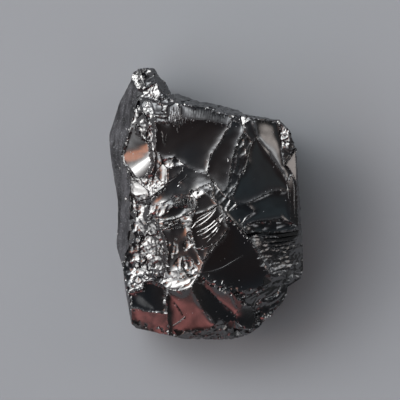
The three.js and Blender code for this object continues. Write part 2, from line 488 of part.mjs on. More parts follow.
function bowlFloor(x, y) {
  const [fromX, fromY, fromZ] = BOWL.from;
  const away = y - fromY - BOWL.bend * (x - fromX) ** 2;
  const curl = away < 0 ? BOWL.below : BOWL.above;
  const rise = (curl * Math.abs(away) ** 3) / (away ** 2 + BOWL.width ** 2);
  return fromZ + BOWL.climb * (x - fromX) + rise;
}

function dipFloor(x, y) {
  const [fromX, fromY, fromZ] = DIP.from;
  return fromZ + DIP.right * (x - fromX) + DIP.up * (y - fromY);
}

// A facet as a sheet: its corners, and how far its middle is from the rim.
function sheetOf({ rim, corners = rimCorners(rim), hollow = 0, floor }) {
  const { x0, x1, y0, y1 } = bounds(corners);
  let middle = TINY;
  for (let x = x0; x < x1; x += MIDDLE_SEARCH)
    for (let y = y0; y < y1; y += MIDDLE_SEARCH)
      if (inside(corners, x, y)) middle = Math.max(middle, rimDistance(corners, x, y));
  return { corners, hollow, middle, floor };
}

function sheetHeight({ corners, hollow, middle, floor }, x, y) {
  const height = stretchedHeight(corners, x, y);
  if (!hollow || !inside(corners, x, y)) return height;
  const reach = rimDistance(corners, x, y);
  const share = Math.min(1, reach / middle);
  const hollowed = height - hollow * share * (2 - share);
  if (!floor) return hollowed;
  return hollowed - Math.max(0, hollowed - floor(x, y)) * Math.min(1, reach / FLOOR_WALL);
}

// The rim moved outwards by a small amount.
function grown(corners, amount) {
  const shape = corners.map(([x, y]) => new THREE.Vector2(x, y));
  const turn = THREE.ShapeUtils.isClockWise(shape) ? 1 : -1;
  return shape.map((at, i) => {
    const before = shape[(i + shape.length - 1) % shape.length];
    const after = shape[(i + 1) % shape.length];
    const a = at.clone().sub(before).normalize();
    const b = after.clone().sub(at).normalize();
    const out = new THREE.Vector2(-(a.y + b.y), a.x + b.x).normalize();
    return at.clone().addScaledVector(out, turn * amount);
  });
}

// The rim as a standing prism of the given span, a hair wider than the rim.
function rimPrism(corners, bottom, top) {
  const prism = new THREE.ExtrudeGeometry(new THREE.Shape(grown(corners, OVERLAP)), {
    depth: top - bottom,
    bevelEnabled: false,
  });
  return prism.translate(0, 0, bottom);
}

// Moves the underside of a level cutter onto the sheet.
function layOnSheet(cutter, sheet, underside) {
  const at = cutter.attributes.position;
  for (let i = 0; i < at.count; i++) {
    if (at.getZ(i) > underside + TINY) continue;
    at.setZ(i, Math.max(CUT_FLOOR, sheetHeight(sheet, at.getX(i), at.getY(i))));
  }
  return cutter;
}

// Everything above a sheet, inside its rim.
function cutterOver(sheet) {
  if (!sheet.hollow) return solid(layOnSheet(rimPrism(sheet.corners, 0, CUT_TOP), sheet, 0));
  const { x0, x1, y0, y1 } = bounds(sheet.corners);
  const width = x1 - x0 + 2 * OVERLAP;
  const length = y1 - y0 + 2 * OVERLAP;
  const grid = sheet.floor ? FLOOR_GRID : GRID;
  const across = Math.max(2, Math.ceil(width / grid));
  const along = Math.max(2, Math.ceil(length / grid));
  const slab = new THREE.BoxGeometry(width, length, CUT_TOP, across, along, 1);
  slab.translate((x0 + x1) / 2, (y0 + y1) / 2, CUT_TOP / 2);
  const prism = solid(rimPrism(sheet.corners, 2 * CUT_FLOOR, CUT_TOP + 1));
  return solid(layOnSheet(slab, sheet, 0)).intersect(prism);
}

// Height of the broken face over (x, y).
function faceHeight(x, y) {
  const over = sheets.filter(({ corners }) => inside(corners, x, y));
  return Math.min(...over.map((sheet) => sheetHeight(sheet, x, y)));
}

// A thin ridge laid along the face, with its two ends sunk into it.
function ribSolid({ half, path }) {
  const points = path.map(([x, y], i) => {
    const end = i === 0 || i === path.length - 1;
    return new THREE.Vector3(x, y, faceHeight(x, y) - (end ? half : 0));
  });
  // along a level path the section's first direction points down
  const section = new THREE.Shape([
    new THREE.Vector2(-half, 0),
    new THREE.Vector2(0, half),
    new THREE.Vector2(RIB_KEEL, 0),
    new THREE.Vector2(0, -half),
  ]);
  return solid(
    new THREE.ExtrudeGeometry(section, {
      steps: 2 * (path.length - 1),
      extrudePath: new THREE.CatmullRomCurve3(points),
    }),
  );
}

// Small many-sided cutters scattered over a patch, each biting a chip out of the face.
function chipCutters({ spacing, radius, bite, area }, index) {
  const random = randomFrom(CHIP_SEED + index);
  const { x0, x1, y0, y1 } = bounds(area);
  const cutters = [];
  for (let x = x0 + spacing / 2; x < x1; x += spacing) {
    for (let y = y0 + spacing / 2; y < y1; y += spacing) {
      const px = x + (random() - 0.5) * spacing;
      const py = y + (random() - 0.5) * spacing;
      const size = radius * (CHIP_LEAST + CHIP_SPREAD * random());
      const turns = [random(), random(), random()].map((turn) => turn * Math.PI);
      if (!inside(area, px, py)) continue;
      const chip = new THREE.IcosahedronGeometry(size, 0);
      chip.rotateX(turns[0]).rotateY(turns[1]).rotateZ(turns[2]);
      chip.translate(px, py, faceHeight(px, py) + size - bite);
      cutters.push(solid(chip));
    }
  }
  return cutters;
}

// One ledge: a strip that starts a little below the face and comes back up to it.
function ledgeSheet(index) {
  const left = [LEDGE_START[0] + index * LEDGE_STEP[0], LEDGE_START[1] + index * LEDGE_STEP[1]];
  const right = [LEDGE_END_X, left[1] + LEDGE_RISE];
  const corner = ([x, y], drop) => [x, y, faceHeight(x, y) - drop];
  const next = ([x, y]) => [x, y + LEDGE_STEP[1]];
  return sheetOf({
    corners: [
      corner(left, LEDGE_DROP),
      corner(right, LEDGE_DROP),
      corner(next(right), 0),
      corner(next(left), 0),
    ],
  });
}

// Everything beyond a plane that leans in under the chunk.
function wallCutter({ from, to, height, lean, stopsAtStart = false, stopsAtEnd = false }) {
  const [runX, runY] = [to[0] - from[0], to[1] - from[1]];
  const length = Math.hypot(runX, runY);
  const start = stopsAtStart ? 0 : -WALL_REACH;
  const end = stopsAtEnd ? length : length + WALL_REACH;
  const block = new THREE.BoxGeometry(WALL_REACH, end - start, WALL_REACH);
  block.translate(WALL_REACH / 2, -(start + end) / 2, 0);
  block.rotateY(THREE.MathUtils.degToRad(lean));
  block.rotateZ(Math.atan2(runX, -runY));
  block.translate(from[0], from[1], height);
  return solid(block);
}

// A round many-sided cutter that takes one scar out of a wall.
function scarCutter({ at, faces, down, radius, bite }) {
  const out = new THREE.Vector3(1, 0, 0)
    .applyAxisAngle(new THREE.Vector3(0, 1, 0), THREE.MathUtils.degToRad(down))
    .applyAxisAngle(new THREE.Vector3(0, 0, 1), THREE.MathUtils.degToRad(faces));
  const centre = new THREE.Vector3(...at).addScaledVector(out, radius - bite);
  return solid(new THREE.IcosahedronGeometry(radius, SCAR_DETAIL).translate(...centre.toArray()));
}

// ---- build ---------------------------------------------------------------------------------

const sheets = FACETS.map(sheetOf);
const block = new THREE.ExtrudeGeometry(
  new THREE.Shape(OUTLINE.map(([x, y]) => new THREE.Vector2(x, y))),
  { depth: BLOCK_HEIGHT, bevelEnabled: false },
);
let stone = solid(block);
for (const sheet of sheets) stone = stone.subtract(cutterOver(sheet));
for (let i = 0; i < LEDGES; i++) stone = stone.subtract(cutterOver(ledgeSheet(i)));
for (const rib of RIBS) stone = stone.add(ribSolid(rib));
for (const cutter of CHIP_PATCHES.flatMap(chipCutters)) stone = stone.subtract(cutter);
for (const wall of WALLS) stone = stone.subtract(wallCutter(wall));
for (const scar of WALL_SCARS) stone = stone.subtract(scarCutter(scar));

// Crossing cuts can leave a crumb or a pocket smaller than a grain of dust; only the chunk stays.
const [whole] = stone.decompose().sort((a, b) => b.volume() - a.volume());

const cut = whole.getMesh();
const geometry = new THREE.BufferGeometry();
geometry.setAttribute("position", new THREE.BufferAttribute(cut.vertProperties, 3));
geometry.setIndex(new THREE.BufferAttribute(cut.triVerts, 1));
geometry.computeVertexNormals();

const chunk = new THREE.Mesh(
  geometry,
  new THREE.MeshStandardMaterial({ color: 0x101114, roughness: 0.2, metalness: 0 }),
);
chunk.name = "shungite_chunk";

const group = new THREE.Group();
group.name = "elite_shungite_chunk";
group.add(chunk);
export default group;
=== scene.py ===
"""A raw chunk of elite shungite: one glassy black stone with a rippled, hackly broken face and
dull pitted joint faces on its left side and its back. It lies on its back on a pale floor.
Lengths in the tables are millimetres; the finished stone is made in metres."""

import math

import bmesh
import bpy
import numpy as np
from mathutils import Euler, Matrix, Vector, noise


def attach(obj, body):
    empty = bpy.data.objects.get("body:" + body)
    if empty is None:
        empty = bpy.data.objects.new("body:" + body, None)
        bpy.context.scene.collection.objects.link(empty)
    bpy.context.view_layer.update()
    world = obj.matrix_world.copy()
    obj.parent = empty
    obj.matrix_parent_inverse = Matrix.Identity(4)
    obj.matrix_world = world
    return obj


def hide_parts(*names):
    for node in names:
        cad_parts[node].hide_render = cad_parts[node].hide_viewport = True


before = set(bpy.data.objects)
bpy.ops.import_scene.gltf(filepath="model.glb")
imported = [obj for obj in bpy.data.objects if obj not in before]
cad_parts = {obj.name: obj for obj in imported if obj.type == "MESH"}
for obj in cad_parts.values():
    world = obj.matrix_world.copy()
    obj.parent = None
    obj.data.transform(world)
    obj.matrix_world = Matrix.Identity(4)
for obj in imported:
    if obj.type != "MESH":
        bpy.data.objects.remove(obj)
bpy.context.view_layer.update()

MM = 0.001
NODE = "shungite_chunk"
scene = bpy.context.scene

# ---- the broken face ----

CUT_TOP = 24.0  # cutters reach up to here
CUT_FLOOR = -6.0  # and those of steep sides down to here
OVERLAP = 0.02  # neighbouring cutters share this much, so no skin is left between them
RECUT = 0.06  # how much deeper than the plain solid the fine face lies
COARSE, FINE, SIDE = 0.26, 0.15, 0.6  # steps of a cutter's grid: smooth, grained, side facets
JITTER = 0.33  # how far the points of a grid stray, in its steps
TINY = 1e-6

# Corners where the ridges of the broken face meet, in runs: the name of the first, then
# (x, y, height) of each.
CORNERS = {
    "tip0": [(-15.4, 29, 9.3), (-12, 29.4, 7), (-8.2, 28.8, 7.5), (-6.6, 26, 9), (-6.4, 22.4, 13)],
    "left0": [(-14.6, 26.4, 11.7), (-14.9, 25.3, 11.8), (-13.3, 22.3, 13.3), (-13.4, 21, 13.8),
        (-14.1, 19.2, 13.6), (-15, 15.9, 13.4), (-15.6, 13.4, 12.9), (-16.4, 11, 11.9),
        (-17, 9.4, 11.2), (-16.2, 7.8, 11.9), (-15.2, 6.6, 12.7), (-15, 4.8, 13.3),
        (-15, 2.2, 13.3), (-15, -2, 13.7), (-15.1, -8, 13.6), (-16, -10, 12.9), (-16.6, -13, 12.2),
        (-15.5, -17.8, 13.2), (-14.9, -20.6, 12.5), (-14.8, -24.4, 10.4)],
    "side0": [(-17.4, 30, 0), (-19.5, 24, -3), (-22.6, 14.5, -2), (-21.2, 2, -4), (-21, -9, -4),
        (-19, -20, -4), (-17.4, -27, -4)],
    "peak1": [(-13, 26.9, 12.5), (-12.6, 25.2, 13.2), (-10.4, 25.8, 12.8), (-12, 23.2, 14.2),
        (-9.9, 24.4, 14.3), (-8.8, 22.6, 15.1), (-10.6, 22.6, 14.2), (-12.6, 20.4, 14.5),
        (-11.2, 20.6, 15), (-9.9, 20.5, 15.4), (-7.4, 21.4, 15.2), (-6, 20.3, 15.8),
        (-10.2, 17.7, 16.6), (-12.4, 18.3, 15.2), (-7.8, 19.6, 16.1), (-8, 17.5, 17.2),
        (-10, 16.4, 17), (-12.9, 15.9, 14.9), (-11.4, 16.8, 15.9), (-13.2, 14.2, 14.7),
        (-10, 12.4, 16.6)],
    "top0": [(-5, 19.9, 16.4), (-2.5, 19.7, 17), (0, 19.3, 17), (1.5, 18.6, 17.2), (5, 17.6, 17.2),
        (7, 17.5, 17), (9.3, 17, 18.2), (11.5, 16.9, 16.4), (14.4, 16.6, 15.4), (16.6, 14.6, 16.2)],
    "lip0": [(-7, 16.3, 17.5), (-5, 17, 17.8), (0, 16.7, 17.9), (4.2, 15.8, 18)],
    "back0": [(-5.6, 24.4, 0), (1, 22.4, 0), (7.6, 20.6, 0), (16.2, 18.8, 0)],
    "hackle0": [(4.4, 14.8, 18.2), (3, 12.4, 18.3), (1.3, 9.8, 18.4), (0.9, 8.6, 18.4),
        (0.2, 6.2, 18.4)],
    "seam0": [(5.4, 16.9, 17.7), (7.3, 15.7, 17.6), (7.6, 14.4, 18.2), (6.1, 11.2, 18.6),
        (5.4, 9, 18.8), (5, 6, 19), (4.4, 3.2, 19.3)],
    "strip0": [(9.2, 12.3, 18.3), (8.5, 9.9, 18.6), (8.3, 8.2, 18.8), (7.4, 6.3, 19),
        (6.6, 5.1, 19.1)],
    "scoop1": [(10.2, 13.2, 17.9), (12.5, 10, 17.9), (15, 6.6, 17.7), (16.4, 4, 17.4),
        (17.3, 6.2, 16.5), (16, 7.8, 16.8), (15.2, 11.5, 15.6), (14.9, 14.2, 15.5),
        (16.9, 11.6, 16.3), (17.4, 9.8, 15.5), (18, 10.8, 14.9)],
    "edge0": [(16.8, 2.6, 17.3), (16.9, -3.6, 17), (18.6, -4.3, 15.9), (18.5, 0, 16.1),
        (18.2, 4.5, 16.5)],
    "right0": [(20.2, 15.5, 8), (20.7, 6, 8), (21, -4.2, 8), (22.6, -9.8, 9), (22, -15, 9)],
    "step0": [(8.2, 0.1, 19.4), (10, 0.9, 19), (11.5, 1.6, 18.7), (13, 2.3, 18.3),
        (14.8, 2.7, 17.9)],
    "knee0": [(6.3, 0.1, 19.7), (5, 1, 19.7), (9.5, -1.4, 18.9), (7.4, -3.8, 19.1)],
    "foot1": [(10, 0.9, 18.7), (11.5, 1.6, 18.3), (13, 2.3, 18)],
    "arch0": [(7.4, -5.1, 19.2), (8.4, -4, 19), (10, -3.3, 18.6), (12.5, -3.2, 18.2),
        (15, -2.8, 17.6)],
    "under0": [(8.3, -4.3, 18.4), (10, -3.7, 18), (12.5, -3.6, 17.7), (15, -3.2, 17.3),
        (17.6, -5.3, 16.2), (13, -5.6, 16.9), (9.6, -5.7, 17.7), (8.3, -6, 18.3)],
    "spine0": [(2.4, -0.1, 20.1), (4, -1.8, 20.1), (5.5, -3.5, 19.7)],
    "spine4": [(8.8, -6.8, 18.8), (10, -9, 18.4), (12, -12.1, 17.7), (13, -14.3, 17.1)],
    "fan0": [(4.4, -4.9, 19.5), (2.7, -7.4, 19.2), (0.6, -10, 18.8), (-0.4, -11.6, 18.6),
        (-1.6, -9.8, 18.2), (-2.6, -6.5, 18.3), (-2.9, -4.5, 18.5), (-2.6, -2.1, 19.1),
        (0, -1.5, 19.6), (-1.3, -13.9, 18.4)],
    "plate0": [(1.2, 1.6, 19.8), (0, 2.3, 19.6), (-0.8, 1.8, 19.4), (-1.8, 1, 19.2),
        (-1.6, 0, 19.2)],
    "crest0": [(-2.7, 2, 18.4), (-1.3, 3.2, 18.8), (0.3, 3.9, 18.9), (1.6, 4.4, 18.8),
        (3.3, 2.3, 19.6)],
    "hollow0": [(-2, 6.5, 17.9), (-4.2, 7.8, 17.6), (-6.2, 9.3, 17.1), (-8.3, 9, 16.8),
        (-9.9, 10.4, 16.4), (-6, 7.7, 17.4), (-7.6, 7, 17.1), (-8.6, 8.2, 16.5)],
    "slant0": [(-11, 1.4, 16.3), (-8.3, 3, 17), (-7.6, 4.2, 17.1), (-5.2, 6.1, 17.6)],
    "lens0": [(-3, 1.8, 18.3), (-6.2, 1.7, 17.5), (-7, 0.9, 17.4), (-8.2, 0.2, 17.3),
        (-10.8, -0.4, 16), (-11.6, -2.4, 15.6), (-9.5, -3.5, 16.5), (-7.5, -3.2, 17.2),
        (-5, -2.5, 17.7), (-3, -1.8, 18.4), (-2, -0.8, 18.8), (-7.6, -1.4, 17.5),
        (-3.8, -0.9, 17.3), (-6.6, -0.3, 17.9), (-9, -2.4, 16.9)],
    "bowl0": [(-13.8, 15.9, 14.2), (-12.2, 12.9, 15.1), (-10.8, 12.4, 15.9), (-10.6, 10.5, 16.2),
        (-10.2, 8, 16.1), (-11, 6, 16), (-12.6, 5.1, 14.7), (-14.3, 5.3, 13.7)],
    "fin0": [(-10, 6.2, 16), (-8.9, 4.6, 16.4)],
    "slope0": [(-13.9, 4.6, 14.1), (-11.6, 2.9, 15.3), (-11.3, 1.5, 15.4), (-12.2, 1.9, 15),
        (-14, 1.7, 14), (-11.2, -0.1, 14.9), (-13.8, -0.3, 13.4), (-9, -4.9, 16.8), (-8, -7, 16.8),
        (-7.5, -10, 16.9), (-8, -13, 16.2), (-8.6, -15.2, 15.2), (-9.2, -15.8, 15.3),
        (-10.5, -15.3, 15.4), (-12.3, -15.5, 14.6), (-12.6, -17, 14.5), (-7, -5, 17.3),
        (-4, -4.6, 17.8)],
    "wing0": [(-7.2, -14.8, 16), (-4.5, -14.8, 17.5), (-3, -14.1, 18), (-2.3, -15.4, 18.3),
        (-2.9, -16.7, 18.3), (-4.5, -17.4, 17.9), (-6.6, -17.2, 16.9), (-7.8, -16.8, 15.9),
        (-7, -13.6, 16.3), (-5.6, -13.2, 17.2)],
    "fall0": [(-7.9, -19, 15.5), (-7.7, -22, 13.6), (-7.2, -27.4, 9.6), (-12, -21.6, 12.6),
        (-14.6, -27, 9), (-0.5, -21.3, 14.5), (1.9, -24.4, 12.4), (1, -25.4, 11.7), (-4, -26, 11)],
    "groove0": [(-0.8, -15.9, 17.4), (2, -18.6, 15.2), (5.8, -22.3, 12.8), (7, -24.9, 11.7)],
    "brow0": [(0.2, -15, 18.2), (2.8, -16.6, 17.5), (5, -17.6, 16.8), (8, -19.6, 15.2),
        (6.6, -21.4, 13.6)],
    "low0": [(9, -20.3, 13.9), (10.1, -21.4, 12.4), (9.9, -25.2, 10.6), (8.5, -17.3, 16.8),
        (11.5, -16.5, 16.9), (12, -25.6, 9.2), (14.8, -22.9, 12), (18, -18, 13)],
    "rim0": [(11, -28, 5), (4, -30, 4), (-5, -29.4, 5)],
}

# Thin crooked ribs that stand on the facets: half width and path.
RIBS = [
    (0.14, [(1.9, -1), (0.6, -1.7), (-0.7, -2.4), (-1.7, -3)]),
    (0.21, [(2.3, -0.5), (1.5, -1.4), (0, -2.6), (-1, -3.2), (-2.3, -4)]),
    (0.20, [(2.1, -1.1), (1.2, -2.3), (0.3, -3.2), (-0.8, -4), (-1.9, -4.5)]),
    (0.21, [(3.7, -1.8), (2.4, -2.9), (1, -4.2), (-0.3, -5), (-1.7, -5.6)]),
    (0.21, [(3.4, -2.7), (1.8, -4.3), (0.8, -5.1), (-0.2, -5.8), (-1.6, -6.3)]),
    (0.23, [(4.1, -2.2), (3.2, -3.2), (2.2, -4.9), (1.2, -5.9), (0.3, -6.6), (-0.8, -7)]),
    (0.14, [(3.1, -4), (2.2, -5.6), (1.2, -6.7), (0.2, -7.7)]),
    (0.21, [(4.4, -4.9), (3.4, -6.4), (2.7, -7.3), (1.8, -8.1), (1.1, -9.1), (0.5, -10),
        (-0.4, -11.5)]),
    (0.21, [(1.2, -8.1), (0.4, -8.6), (-0.6, -8.8), (-1.9, -8.9)]),
    (0.2, [(-2, -3.9), (-2.5, -4.6), (-3.1, -5.1)]),
    (0.22, [(-1.8, 0.6), (-1.7, -0.3), (-2.2, -1.1), (-3.1, -1.9), (-4.3, -2.4)]),
    (0.12, [(-1.3, -13.6), (0.5, -13.5), (3, -12.8), (5, -11.7), (7.5, -10.2)]),
    (0.16, [(-13.8, 0), (-13.1, 0.6), (-11, 1.2), (-10.2, 2)]),
    (0.22, [(-10.2, 2), (-8.6, 3.1), (-7.8, 4), (-6.5, 4.9), (-5.1, 6.1)]),
    (0.16, [(-9.9, 1.5), (-8.9, 2.2), (-8, 2.9)]),
    (0.2, [(-5.6, 3.7), (-5.1, 4.4), (-4.3, 5), (-3.9, 5.4), (-3.8, 6)]),
    (0.16, [(-6.8, 1.1), (-6.2, 1.6), (-5, 1.4), (-3.5, 1.35), (-2.4, 1.3)]),
    (0.22, [(-3.1, -2.3), (-4.5, -2.5), (-6, -3), (-7, -3.8), (-8.6, -4.4)]),
    (0.18, [(-4.9, -2.9), (-5.5, -3.5), (-6.6, -3.9), (-8.4, -4.8)]),
    (0.14, [(-3.4, -4.3), (-5, -4.5), (-7.4, -4.9), (-8.8, -5.3)]),
    (0.1, [(-3, -3.6), (-4.6, -3.7), (-5.6, -3.9)]),
    (0.2, [(5.3, 16.6), (4.4, 14.8), (3, 12.4), (1.4, 10), (0.9, 8.6)]),
    (0.16, [(7.6, 14.4), (6.9, 12.9), (6.1, 11.2)]),
    (0.18, [(8.5, 9.9), (8.2, 8.1), (7.4, 6.3), (6.6, 5.1)]),
    (0.2, [(7.3, -3.8), (8.2, -2.6), (9.4, -1.7)]),
    (0.3, [(4.7, -1.4), (5.4, -0.8), (6.3, 0.1)]),
    (0.16, [(15.8, 7.8), (16.3, 8.8), (16.9, 9.8)]),
    (0.14, [(16, 7.6), (16.5, 7.2), (17, 6.6)]),
    (0.14, [(15.2, 6.4), (15.9, 5), (16.4, 3.3), (16.6, 1)]),
    (0.16, [(17, 5.9), (17.4, 4.8), (17.7, 3.2), (17.7, 0.5), (17.8, -2.5)]),
    (0.12, [(-10.3, 16.3), (-9.2, 16.3), (-8.2, 16.4), (-7.8, 16)]),
    (0.16, [(-6.6, -24.5), (-5.4, -23.7), (-4.1, -22.6)]),
    (0.12, [(-6.3, -19.6), (-5.3, -20.9), (-4.5, -22.4)]),
    (0.16, [(-8.9, 20), (-8.7, 19.2), (-8.8, 18.4)]),
    (0.18, [(-8.7, 18.6), (-8.2, 18.2), (-7.9, 17.8)]),
    (0.2, [(-8.8, 14.5), (-8.5, 13.4), (-8.4, 12.1)]),
    (0.16, [(-7.7, 14), (-7.9, 13), (-8.1, 11.6)]),
    (0.2, [(-6.9, 20), (-6.2, 20.2), (-5.6, 20.7)]),
]
# Upright striations under the top left corner: x, and the ends of each along Y.
STRIATIONS = [
    (-7.9, 17, 16), (-7.4, 17.4, 15.8), (-6.8, 18.4, 16), (-6.4, 17.8, 15.6), (-6, 18, 15.4),
    (-5.6, 18.6, 14.2), (-5.2, 19.6, 15.2), (-4.8, 17.6, 15.6), (-4.4, 17.4, 16),
    (-3.9, 17.1, 16.1), (-3.4, 17.1, 16.2), (-2.9, 17.2, 16.1), (-2.3, 17, 16.3),
    (-6.3, 19.3, 18.4), (-5.7, 19.2, 18.2),
]
RIBS += [(0.15, [(x, high), (x - 0.05, (high + low) / 2), (x, low)]) for x, high, low in STRIATIONS]
# The comb along the lens.
RIBS += [
    (0.1, [(x, 1.4), (x - 0.03, 0.5), (x, -0.35 - 0.2 * abs(x + 6.5) ** 0.9)])
    for x in (-6.4, -6.1, -5.8, -5.45, -5.15, -4.85, -4.5, -4.2, -3.9, -3.6, -3.3, -3, -2.7, -2.4)
]

# Ridges whose crest is chipped: path or corners, and the spacing, radius, bite and spread of the
# chips.
CHIPPED_RIDGES = [
    ([(2.4, -0.2), (4, -2), (5.5, -3.5), (7.3, -5.2), (8.8, -6.8), (10, -9), (12, -12.1),
        (13, -14.3)], 0.35, 0.5, 0.16, 0.5),
    ([(-1.3, -13.8), (0.2, -15), (2.8, -16.6), (5, -17.6), (8, -19.6), (10, -21.3)],
        0.35, 0.6, 0.2, 0.5),
    ("seam0..6", 0.6, 0.45, 0.12, 0.4),
    ("left5 left7 left8 left11 left13 left14 left16 left17 left19", 0.5, 0.45, 0.14, 0.3),
    ("top0 top2 top4 top6 top8 top9 scoop11", 0.45, 0.5, 0.16, 0.3),
    ([(-7.2, -27), (1, -25.6), (7.2, -25), (10, -25.3), (14.8, -22.6)], 0.5, 0.5, 0.16, 0.4),
    ([(-14.8, -24.4), (-12, -24.8), (-7.2, -26.4)], 0.5, 0.45, 0.14, 0.3),
    ([(-8.6, -15.4), (-7.8, -16.8), (-4.5, -17.4), (-2.9, -16.7)], 0.5, 0.4, 0.12, 0.3),
    ([(-7, 16.4), (-5, 17), (0, 16.7), (4.2, 15.8)], 0.8, 0.35, 0.08, 0.3),
    ("crest0..3", 0.5, 0.45, 0.14, 0.3),
]


# ---- sheets ----

PROBE = 0.5  # spacing of the points that find the middle of a facet


def unit(vectors):
    return vectors / np.hypot(*vectors.T)[:, None]


def parted(name):
    """The word and the number of a corner's name."""
    stem = name.rstrip("0123456789")
    return stem, int(name[len(stem) :])


def numbered_corners():
    """Corner name to its (x, y, height), counting on from each run's first name."""
    named = {}
    for first, run in CORNERS.items():
        stem, start = parted(first)
        named |= {f"{stem}{start + i}": corner for i, corner in enumerate(run)}
    return named


def rim_corners(rim, named):
    """Spells out a rim, whose runs count up or down."""
    corners = []
    for word in rim.split():
        first, _, last = word.partition("..")
        stem, start = parted(first)
        end = int(last or start)
        way = 1 if end >= start else -1
        corners += [named[f"{stem}{i}"] for i in range(start, end + way, way)]
    return np.array(corners, float)


class Sheet:
    """A facet stretched over its rim by mean value coordinates, so it runs straight along every
    edge of the rim, and hollowed in the middle."""

    def __init__(self, corners, hollow):
        self.corners, self.hollow = corners, hollow
        self.low, self.high = corners[:, :2].min(0), corners[:, :2].max(0)
        probes = [np.arange(low, high, PROBE) for low, high in zip(self.low, self.high)]
        x, y = (grid.ravel() for grid in np.meshgrid(*probes))
        reach = np.where(self.inside(x, y), self.rim_distance(x, y), 0)
        self.middle = max(TINY, reach.max(initial=0))

    def edges(self):
        """Both ends of each edge of the rim."""
        ax, ay = self.corners[:, 0, None], self.corners[:, 1, None]
        return ax, ay, np.roll(ax, -1, 0), np.roll(ay, -1, 0)

    def crossings(self, y):
        """Which edges of the rim pass each y, and where they do along X."""
        ax, ay, bx, by = self.edges()
        at = ax + (y - ay) / np.where(by == ay, 1, by - ay) * (bx - ax)
        return (ay > y) != (by > y), at

    def inside(self, x, y):
        crosses, at = self.crossings(y)
        return (crosses & (x < at)).sum(0) % 2 == 1

    def ends(self, y):
        """Where the facet begins and ends along X at each y."""
        crosses, at = self.crossings(y)
        return np.where(crosses, at, np.inf).min(0), np.where(crosses, at, -np.inf).max(0)

    def rim_distance(self, x, y):
        """About the distance to the rim, a little less where several edges are near."""
        ax, ay, bx, by = self.edges()
        along = ((x - ax) * (bx - ax) + (y - ay) * (by - ay)) / ((bx - ax) ** 2 + (by - ay) ** 2)
        t = np.clip(along, 0, 1)
        gap = np.hypot(x - ax - t * (bx - ax), y - ay - t * (by - ay))
        return 1 / np.sqrt((1 / np.maximum(gap, TINY) ** 2).sum(0))

    def stretched(self, x, y):
        """Height of the skin that the rim alone carries."""
        ax, ay = self.corners[:, 0, None] - x, self.corners[:, 1, None] - y
        far = np.hypot(ax, ay)
        bx, by, far_b = np.roll(ax, -1, 0), np.roll(ay, -1, 0), np.roll(far, -1, 0)
        cross = ax * by - ay * bx
        half_tan = (far * far_b - ax * bx - ay * by) / np.where(abs(cross) < TINY, TINY, cross)
        weight = (half_tan + np.roll(half_tan, 1, 0)) / np.maximum(far, TINY)
        return (weight * self.corners[:, 2, None]).sum(0) / weight.sum(0)

    def height(self, x, y):
        z = self.stretched(x, y)
        if self.hollow:
            share = np.minimum(1, self.rim_distance(x, y) / self.middle)
            z = z - np.where(self.inside(x, y), self.hollow * share * (2 - share), 0)
        return z


# ---- solids ----

workshop = bpy.data.collections.new("workshop")


def linked(name, data, collection):
    """A new object with the given mesh, lamp or camera, in the collection."""
    made = bpy.data.objects.new(name, data)
    collection.objects.link(made)
    return made


def points_in(parts):
    return [part for part in parts if isinstance(part, bmesh.types.BMVert)]


def solid_from(shape, name):
    """Turns a bmesh into a glassy solid in the workshop."""
    bmesh.ops.recalc_face_normals(shape, faces=shape.faces)
    mesh = bpy.data.meshes.new(name)
    shape.to_mesh(mesh)
    shape.free()
    mesh.materials.append(glass)
    return linked(name, mesh, workshop)


def combine(target, operation, cutters):
    """Joins cutters to the target, or cuts them out of it, and clears them away."""
    group = bpy.data.collections.new("cutters")
    for cutter in cutters:
        group.objects.link(cutter)
    change = target.modifiers.new(operation.lower(), "BOOLEAN")
    change.operation, change.solver = operation, "MANIFOLD"
    change.operand_type, change.collection = "COLLECTION", group
    change.material_mode = "TRANSFER"
    ready = target.evaluated_get(bpy.context.evaluated_depsgraph_get())
    mesh, old = bpy.data.meshes.new_from_object(ready), target.data
    target.modifiers.clear()
    target.data = mesh
    bpy.data.meshes.remove(old)
    for cutter in cutters:
        bpy.data.meshes.remove(cutter.data)
    bpy.data.collections.remove(group)


def rim_prism(corners, bottom, top):
    """The rim as a standing prism, a hair wider than the rim."""
    flat = corners[:, :2]
    along = unit(flat - np.roll(flat, 1, 0)) + unit(np.roll(flat, -1, 0) - flat)
    out = unit(np.stack([along[:, 1], -along[:, 0]], 1))
    x, y = flat.T
    turn = np.sign((x * np.roll(y, -1) - y * np.roll(x, -1)).sum())
    shape = bmesh.new()
    floor = shape.faces.new(
        [shape.verts.new((px, py, bottom)) for px, py in flat + turn * OVERLAP * out]
    )
    raised = bmesh.ops.extrude_face_region(shape, geom=[floor])["geom"]
    bmesh.ops.translate(shape, verts=points_in(raised), vec=(0, 0, top - bottom))
    return shape


